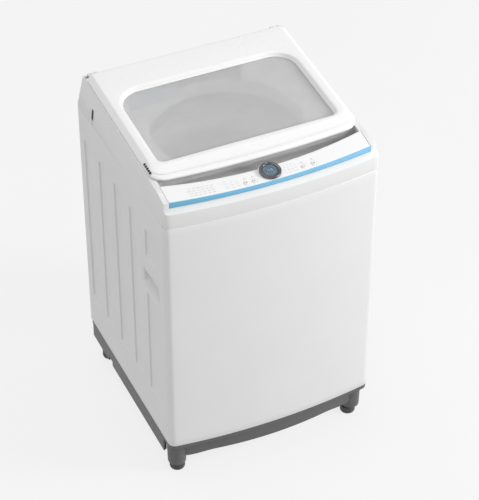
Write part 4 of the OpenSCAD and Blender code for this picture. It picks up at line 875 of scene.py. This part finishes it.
def button_print(x, radius):
    """A dot printed on the button's dished top, in two rings that follow the dish."""
    profile = [(0.01, 1.5), (radius * 0.6, 1.53), (radius, 1.56), (radius, 1.66), (radius * 0.6, 1.63), (0.01, 1.6)]
    return turned(lathe(profile, 24), on_button(x))


def push_buttons():
    profile = [(0.01, -6.2), (6.4, -6.2), (6.4, -4.9), (5.0, -4.8), (5.0, 1.0), (4.7, 1.5), (3.9, 1.75), (2.0, 1.55),
               (0.01, 1.5)]
    left, right, start, power = BUTTON_XS
    for name, x, body in (("function_button_left", left, "function_left"), ("start_button", start, "start"),
                          ("function_button_right", right, "function_right"), ("power_button", power, "power")):
        part = turned(lathe(profile, 48), on_button(x))
        piece(name.replace("button", "cap"), *part, body=body, slot=SLOT_OF[name], replaces=[name], sharp=40.0)
        dot, ink = (1.3, MARK_RED) if body == "start" else (2.1, MARK_GREY)
        piece(body + "_dot", *button_print(x, dot), body=body, slot=SLOT_OF[name], material=ink, sharp=40.0)


# ---------------- feet

def foot_profile(stud_top):
    """Grooved rubber pad and ringed stud, each as half a section."""
    pad = [(0.01, 0.0), (17.2, 0.0), (18.2, 0.5), (18.9, 2.0), (19.5, 4.0), (19.5, 6.5), (18.7, 7.0), (18.7, 8.2),
           (19.5, 8.7), (19.5, 12.0), (18.7, 12.5), (18.7, 13.7), (19.5, 14.2), (19.5, 18.4), (18.9, 19.6),
           (17.8, 20.0)]
    stud, z, pitch = [], 20.2, 1.2
    while z < stud_top - pitch:
        stud += [(4.55, z), (4.98, z + pitch / 2.0)]
        z += pitch
    return pad, [(0.01, 19.8)] + stud + [(4.4, stud_top), (0.01, stud_top)]


def feet():
    low, high = mm_box("front_foot_right")
    x, y = (low.x + high.x) / 2.0, (low.y + high.y) / 2.0
    pad, stud = foot_profile(high.z)
    for side, name in ((-1.0, "left"), (1.0, "right")):
        part = combined(lathe(pad + [(0.01, 20.0)], 64), lathe(stud, 32))
        piece("foot_pad_" + name, *moved(part, (side * x, y, 0.0)), body="foot_" + name, slot="foot_rubber",
              replaces=["front_foot_" + name], sharp=40.0)
    rear = mm_box("rear_feet")[0].y + 19.5
    column = pad[:-1] + [(19.5, 20.4), (19.5, 31.0), (18.9, 34.0), (0.01, 34.0)]
    parts = [moved(lathe(column, 64), (side * x, rear, 0.0)) for side in (-1.0, 1.0)]
    piece("rear_foot_pads", *combined(*parts), slot="foot_rubber", replaces=["rear_feet"], sharp=40.0)


# ---------------- drum, pulsator and rings

def drum_wall():
    """Steel wall with real perforations in a staggered pattern."""
    low, high = mm_box("spin_drum")
    r, cell_w, hole, band = high.x, 7.3, 2.2, 15.0
    columns = int(round(2.0 * math.pi * r / cell_w / 2.0)) * 2
    rows = int((high.z - low.z - 2.0 * band) / cell_w)
    step_z = (high.z - low.z - 2.0 * band) / rows
    angle = 2.0 * math.pi / columns
    verts, faces, index = [], [], {}

    def vert(u, v):
        key = (round(u % columns, 4), round(v, 4))
        if key not in index:
            index[key] = len(verts)
            a = key[0] * angle
            swell = sum(1.2 * math.exp(-((v - rows * share) / 2.0) ** 2) for share in (0.33, 0.67))
            rr = r - 0.1 - swell
            verts.append((rr * math.cos(a), rr * math.sin(a), low.z + band + v * step_z))
        return index[key]

    hu, hv = hole / (r * angle), hole / step_z
    around = ((0, 0), (0.5, 0), (1, 0), (1, 0.5), (1, 1), (0.5, 1), (0, 1), (0, 0.5))
    turn = [math.radians(a) for a in (225, 270, 315, 0, 45, 90, 135, 180)]
    for j in range(rows):
        for i in range(columns):
            ring = [vert(i + u, j + v) for u, v in around]
            if (i + j) % 2 or (i % 24) < 2:
                faces.append(tuple(ring))
                continue
            inner = [vert(i + 0.5 + hu * math.cos(a), j + 0.5 + hv * math.sin(a)) for a in turn]
            faces += [(ring[k], ring[(k + 1) % 8], inner[(k + 1) % 8], inner[k]) for k in range(8)]
    n = columns * 2
    for z, row in ((low.z, 0), (high.z, rows)):
        edge = [vert(i * 0.5, row) for i in range(n)]
        base = len(verts)
        verts += [((r - 0.1) * math.cos(i * angle / 2.0), (r - 0.1) * math.sin(i * angle / 2.0), z) for i in range(n)]
        for i in range(n):
            quad = (base + i, base + (i + 1) % n, edge[(i + 1) % n], edge[i])
            faces.append(quad if row == 0 else quad[::-1])
    obj = piece("drum_wall", verts, faces, body="drum", slot="drum_steel", replaces=["spin_drum"], sharp=50.0)
    sheet_metal(obj, 1.0)


def pulsator():
    """Disc with six swept fins and rows of dimples, and the cap of its screw."""
    low, high = mm_box("pulsator")
    r_out, z0, n = high.x, low.z, 240
    radii = [9.2, 12.0, 16.0, 24.0, 32.0, 38.0, 46.0] + between(54.0, r_out - 12.0, 16)
    radii += [r_out - k for k in (6.0, 2.5, 0.6, 0.0)]

    def height(r, a):
        cone = 10.0 + 16.0 * (1.0 - smooth((r - 30.0) / (r_out * 0.75)))
        sweep = a + 0.55 * (r / r_out) ** 1.5
        wave = 0.5 + 0.5 * math.cos(6.0 * sweep)
        fin = 11.0 * wave ** 6 * smooth((r - 26.0) / 30.0) * smooth((r_out - 6.0 - r) / 26.0)
        field = smooth((r - 70.0) / 10.0) * smooth((r_out - 14.0 - r) / 8.0)
        dimple = 1.2 * (0.5 + 0.5 * math.cos(36.0 * sweep)) ** 4 * field
        hub = 9.0 * (1.0 - smooth((r - 24.0) / 12.0))
        rim = -7.0 * smooth((r - r_out + 5.0) / 5.0)
        return min(35.8, cone + fin + hub + rim + dimple * (1.0 - wave))

    turns = [2 * math.pi * k / n for k in range(n)]
    rings = [[(r * math.cos(a), r * math.sin(a), z0 + height(r, a)) for a in turns] for r in radii]
    for r, z in ((r_out, 0.6), (r_out - 0.6, 0.0), (40.0, 0.0), (9.2, 0.0)):
        rings.append([(r * math.cos(a), r * math.sin(a), z0 + z) for a in turns])
    piece("pulsator_disc", *loft(rings, wrap=True), body="agitator", slot="filter_plastic", replaces=["pulsator"],
          sharp=50.0)
    cap = [(0.01, 22.5), (9.0, 22.5), (12.5, 33.5), (13.5, 34.6), (13.2, 35.6), (9.0, 36.0), (0.01, 36.0)]
    piece("pulsator_cap", *moved(lathe(cap, 64), (0.0, 0.0, z0)), body="agitator", slot="filter_plastic")


def rings_round_the_mouth():
    low, high = mm_box("balance_ring")
    r0, r1, h = high.x - 29.0, high.x, high.z - low.z
    profile = [(r0 + 1.5, 0.0), (r1 - 1.5, 0.0), (r1, 1.5), (r1, h - 5.0), (r1 - 1.4, h - 2.0), (r1 - 5.0, h - 0.3),
               (r1 - 9.0, h), (r0 + 10.0, h - 0.4), (r0 + 4.0, h - 2.2), (r0 + 1.0, h - 6.0), (r0, h - 11.0), (r0, 2.0)]
    ring = moved(lathe(profile, 160), (0.0, 0.0, low.z))
    lugs = ring_of(12, rounded_box((r0 + 7.0, -9.0, low.z + h - 4.0), (r1 - 7.0, 9.0, low.z + h - 0.05), 1.5))
    piece("balance_rim", *combined(ring, *lugs), body="drum", slot="balance_plastic", replaces=["balance_ring"])
    low, high = mm_box("tub_cover")
    top = high.z - low.z
    profile = [(192.0, 8.2), (243.0, 8.2), (243.2, 0.4), (243.6, 0.0), (245.6, 0.0), (246.0, 0.6), (246.0, 13.0),
               (245.0, 14.0), (206.0, 14.0), (198.0, 14.6), (195.4, 17.0), (195.0, top - 0.8), (194.2, top),
               (192.8, top), (192.0, top - 0.8)]
    ring = moved(lathe(profile, 160), (0.0, 0.0, low.z))
    ribs = ring_of(24, rounded_box((203.0, -1.4, low.z + 13.5), (240.0, 1.4, low.z + 18.0), 0.6))
    piece("tub_cover_ring", *combined(ring, *ribs), body="tub", slot="tub_plastic", replaces=["tub_cover"])


# ---------------- head frame details

SIDE_LEAN, REAR_LEAN = 10.5 / 96.3, 23.0 / 96.3
SHELL = dict(flat=0.4, angle=24.0, segments=4)


def on_head_skin(p):
    """True for a point on the outside of the head frame."""
    rise = p.z - SEAM_HIGH
    return (abs(p.x) > HALF_W - SIDE_LEAN * rise - 0.8 or p.y > CAB_BACK - 0.5 - REAR_LEAN * rise - 0.8
            or math.hypot(p.x, p.y - BOW_CY) > BOW_R - 0.8)


def head_frame():
    rounded_copy("top_frame", [(3.0, lambda p: on_head_skin(p) and p.z > SEAM_HIGH + 20.0),
                               (1.2, lambda p: on_head_skin(p) and p.z < SEAM_HIGH + 0.5)], **SHELL)


def on_side(y, z):
    """Frame on the left flank of the head: X out of the wall, Z up it."""
    place = Matrix.Translation((SIDE_LEAN * (z - SEAM_HIGH) - HALF_W, y, z))
    return place @ Matrix.Rotation(math.pi, 4, "Z") @ Matrix.Rotation(-math.atan(SIDE_LEAN), 4, "Y")


def head_marks():
    """Slot and groove on the left of the head and vents in the lid's rim, as near-black blocks that paint the shade
    inside these openings, and screw caps on both sides.
    """
    slot = turned(rounded_box((-1.0, -5.5, -14.0), (0.35, 5.5, 14.0), 0.6), on_side(179.0, 829.0))
    groove = turned(rounded_box((-0.6, -0.5, -9.0), (0.12, 0.5, 9.0), 0.1), on_side(179.0, 807.5))
    vents = [turned(rounded_box((-259.6, y - 1.5, -8.2), (-254.4, y + 1.5, -3.4), 0.5), ON_LID)
             for y in (-347.0, -355.0, -363.0, -371.0, -379.0)]
    # Painted shade: the slot, groove and vents are near-black blocks set into the surface, not cut openings.
    piece("side_slot", *combined(slot, groove), material=PAINTED_SHADE_FILL, slot="bumper_rubber")
    piece("lid_vents", *combined(*vents), body="lid", material=PAINTED_SHADE_FILL, slot="bumper_rubber")
    section = [(0.01, -0.5), (5.0, -0.5), (5.0, 0.2), (4.6, 0.55), (3.9, 0.6), (3.6, 0.3), (2.0, 0.35), (0.01, 0.4)]
    cap = lathe(section, 40)
    seat = Matrix.Rotation(math.pi / 2.0, 4, "Y")
    caps = [turned(cap, on_side(y, z) @ seat) for y, z in ((-216.0, 808.0), (226.0, 808.0))]
    piece("screw_caps_left", *combined(*caps), slot="frame_plastic")
    piece("screw_caps_right", *mirrored(combined(*caps)), slot="frame_plastic")


# ---------------- base frame

SKIRT_R = 967.0


def on_base_skin(p):
    edge = abs(p.x) > HALF_W - 6.0 or p.y < FRONT_Y + 46.0 or p.y > CAB_BACK - 14.0
    return edge and p.z < SEAM_LOW - 1.0


def base_frame():
    """Base with rolled edges, and the arched skirt between its front columns."""
    rounded_copy("base", [(1.4, on_base_skin)], **SHELL)
    webs = [rounded_box((side * (HALF_W - 6.0) - 3.6, -207.0, 60.0), (side * (HALF_W - 6.0) + 3.6, -186.0, 112.0), 1.2)
            for side in (-1.0, 1.0)]
    verts, xs = [], between(-224.0, 224.0, 96)
    for x in xs:
        y = FRONT_Y + 10.0 + SKIRT_R - math.sqrt(SKIRT_R ** 2 - x * x)
        low = 58.5 - 7.0 * smooth((abs(x) - 150.0) / 70.0)
        for dy, z in ((3.8, 111.5), (-0.5, 111.5), (-0.5, low + 2.4), (-0.1, low + 1.0), (0.8, low + 0.15), (2.2, low),
                      (3.2, low + 0.5), (3.8, low + 2.0)):
            verts.append((x, y + dy, z))
    faces = grid_faces(len(xs), 8, wrap_columns=True) + end_caps(len(verts), 8)
    piece("skirt_front", *combined((verts, faces), *webs), slot="base_plastic", sharp=50.0)


# ---------------- rear side

def rear_sheet():
    """Galvanised back with pressed fields, held inside the cabinet's flanges."""
    low, high = mm_box("rear_panel")
    fields = [(-226.0, 226.0, high.z - 236.0, high.z - 44.0), (-226.0, 226.0, high.z - 452.0, high.z - 262.0),
              (-226.0, -96.0, low.z + 74.0, high.z - 478.0), (160.0, 226.0, low.z + 74.0, high.z - 478.0)]

    def press(x, z):
        depth = 0.0
        for x0, x1, z0, z1 in fields:
            inside = min(x - x0, x1 - x, z - z0, z1 - z)
            depth = max(depth, 3.2 * smooth(inside / 5.0) - 2.0 * smooth((inside - 17.0) / 5.0))
        return depth

    marks_x, marks_z = [low.x, high.x], [low.z, high.z]
    for x0, x1, z0, z1 in fields:
        for k in (0.0, 1.5, 3.0, 5.0, 17.0, 18.5, 20.0, 22.0):
            marks_x += [x0 + k, x1 - k]
            marks_z += [z0 + k, z1 - k]
    holes = ((-200.0, SEAM_LOW + 30.0, 20.4), (200.0, SEAM_LOW + 30.0, 12.0))
    for hx, hz, r in holes:
        marks_x += [hx - r, hx + r]
        marks_z += [hz - r, hz + r]
    xs, zs = filled(marks_x, 26.0), filled(marks_z, 26.0)
    verts = [(x, high.y - 0.1 - press(x, z), z) for z in zs for x in xs]
    faces = []
    for face in grid_faces(len(zs), len(xs)):
        cx = sum(verts[i][0] for i in face) / 4.0
        cz = sum(verts[i][2] for i in face) / 4.0
        if not any(abs(cx - hx) < r and abs(cz - hz) < r for hx, hz, r in holes):
            faces.append(face[::-1])
    obj = piece("rear_sheet", verts, faces, slot="galvanised_steel", replaces=["rear_panel"], sharp=60.0)
    sheet_metal(obj, 0.8, 0.0)
    collars = []
    for hx, hz, r in holes:
        bore = r - 4.0 if r > 15.0 else 9.5
        ring = lathe([(bore, -0.3), (r + 5.5, -0.3), (r + 5.5, 0.3), (r + 4.5, 0.9), (bore, 0.9)], 48)
        seat = Matrix.Translation((hx, high.y - 0.3, hz)) @ Matrix.Rotation(-math.pi / 2.0, 4, "X")
        collars.append(turned(ring, seat))
    piece("rear_collars", *combined(*collars), slot="bumper_rubber", sharp=40.0)


def rear_cover():
    """Service cover with a turned edge and louvres that open downwards."""
    low, high = mm_box("service_cover")
    y, middle, louvres = high.y, (low.x + high.x) / 2.0, []
    base = rounded_box((low.x, low.y, low.z), (high.x, y - 0.2, high.z), 0.4)
    for row in range(6):
        z = low.z + 34.0 + 22.0 * row
        xs, verts = between(middle - 62.0, middle + 62.0, 24), []
        for i, x in enumerate(xs):
            end = smooth(min(i, 24 - i) / 3.0)
            for dy, dz in ((-0.5, -1.0), (0.4 * end, -1.0), (2.6 * end, 0.2), (2.9 * end, 1.6), (2.2 * end, 4.6),
                           (0.8 * end, 7.6), (0.0, 9.0), (-0.5, 9.0)):
                verts.append((x, y + dy - 0.3, z + dz))
        louvres.append((verts, grid_faces(len(xs), 8, wrap_columns=True) + end_caps(len(verts), 8)))
    piece("service_plate", *combined(base, *louvres), slot=SLOT_OF["service_cover"], replaces=["service_cover"],
          sharp=40.0)


# (node, edge radius in mm) of the CAD nodes that keep their shape but for soft edges.
SOFT_EDGES = (("motor", 1.2), ("motor_capacitor", 1.0), ("clutch_housing", 1.0), ("drain_valve", 0.8),
              ("board_case", 0.6), ("control_board", 0.3), ("lid_switch", 0.8), ("rod_sockets", 0.8),
              ("guard_plate", 0.3), ("carrier_plate", 0.4), ("drum_base", 0.8), ("detergent_drawer", 0.8),
              ("drawer_housing", 0.5), ("cord_gland", 0.6), ("drain_outlet", 0.6), ("foot_locknuts", 0.5),
              ("suspension_rods", 0.5), ("lint_filters", 0.8), ("inlet_valve", 0.5), ("driven_pulley", 0.5),
              ("motor_pulley", 0.4), ("outer_tub", 1.0), ("drain_hose", 0.5), ("rear_screws", 0.3))


studio()
camera()
cabinet()
for side_name, part in (("right", grip()), ("left", mirrored(grip()))):
    piece("grip_cup_" + side_name, *part, slot="cup_plastic", replaces=["handle_cup_" + side_name], sharp=50.0)
head_frame()
head_marks()
base_frame()
rear_sheet()
rear_cover()
lid()
control_panel()
trim_strip()
finger_recess()
panel_print()
dial()
push_buttons()
feet()
drum_wall()
pulsator()
rings_round_the_mouth()
for node_name, width in SOFT_EDGES:
    rounded_copy(node_name, [(width, anywhere)])


# ---------------- everything else keeps the CAD shape

hidden = {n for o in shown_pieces() for n in o.get("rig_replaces", [])}
for node_name, obj in frame["nodes"].items():
    if node_name in hidden:
        continue
    obj.data.materials.clear()
    obj.data.materials.append(MATERIALS[SLOT_OF[node_name]])
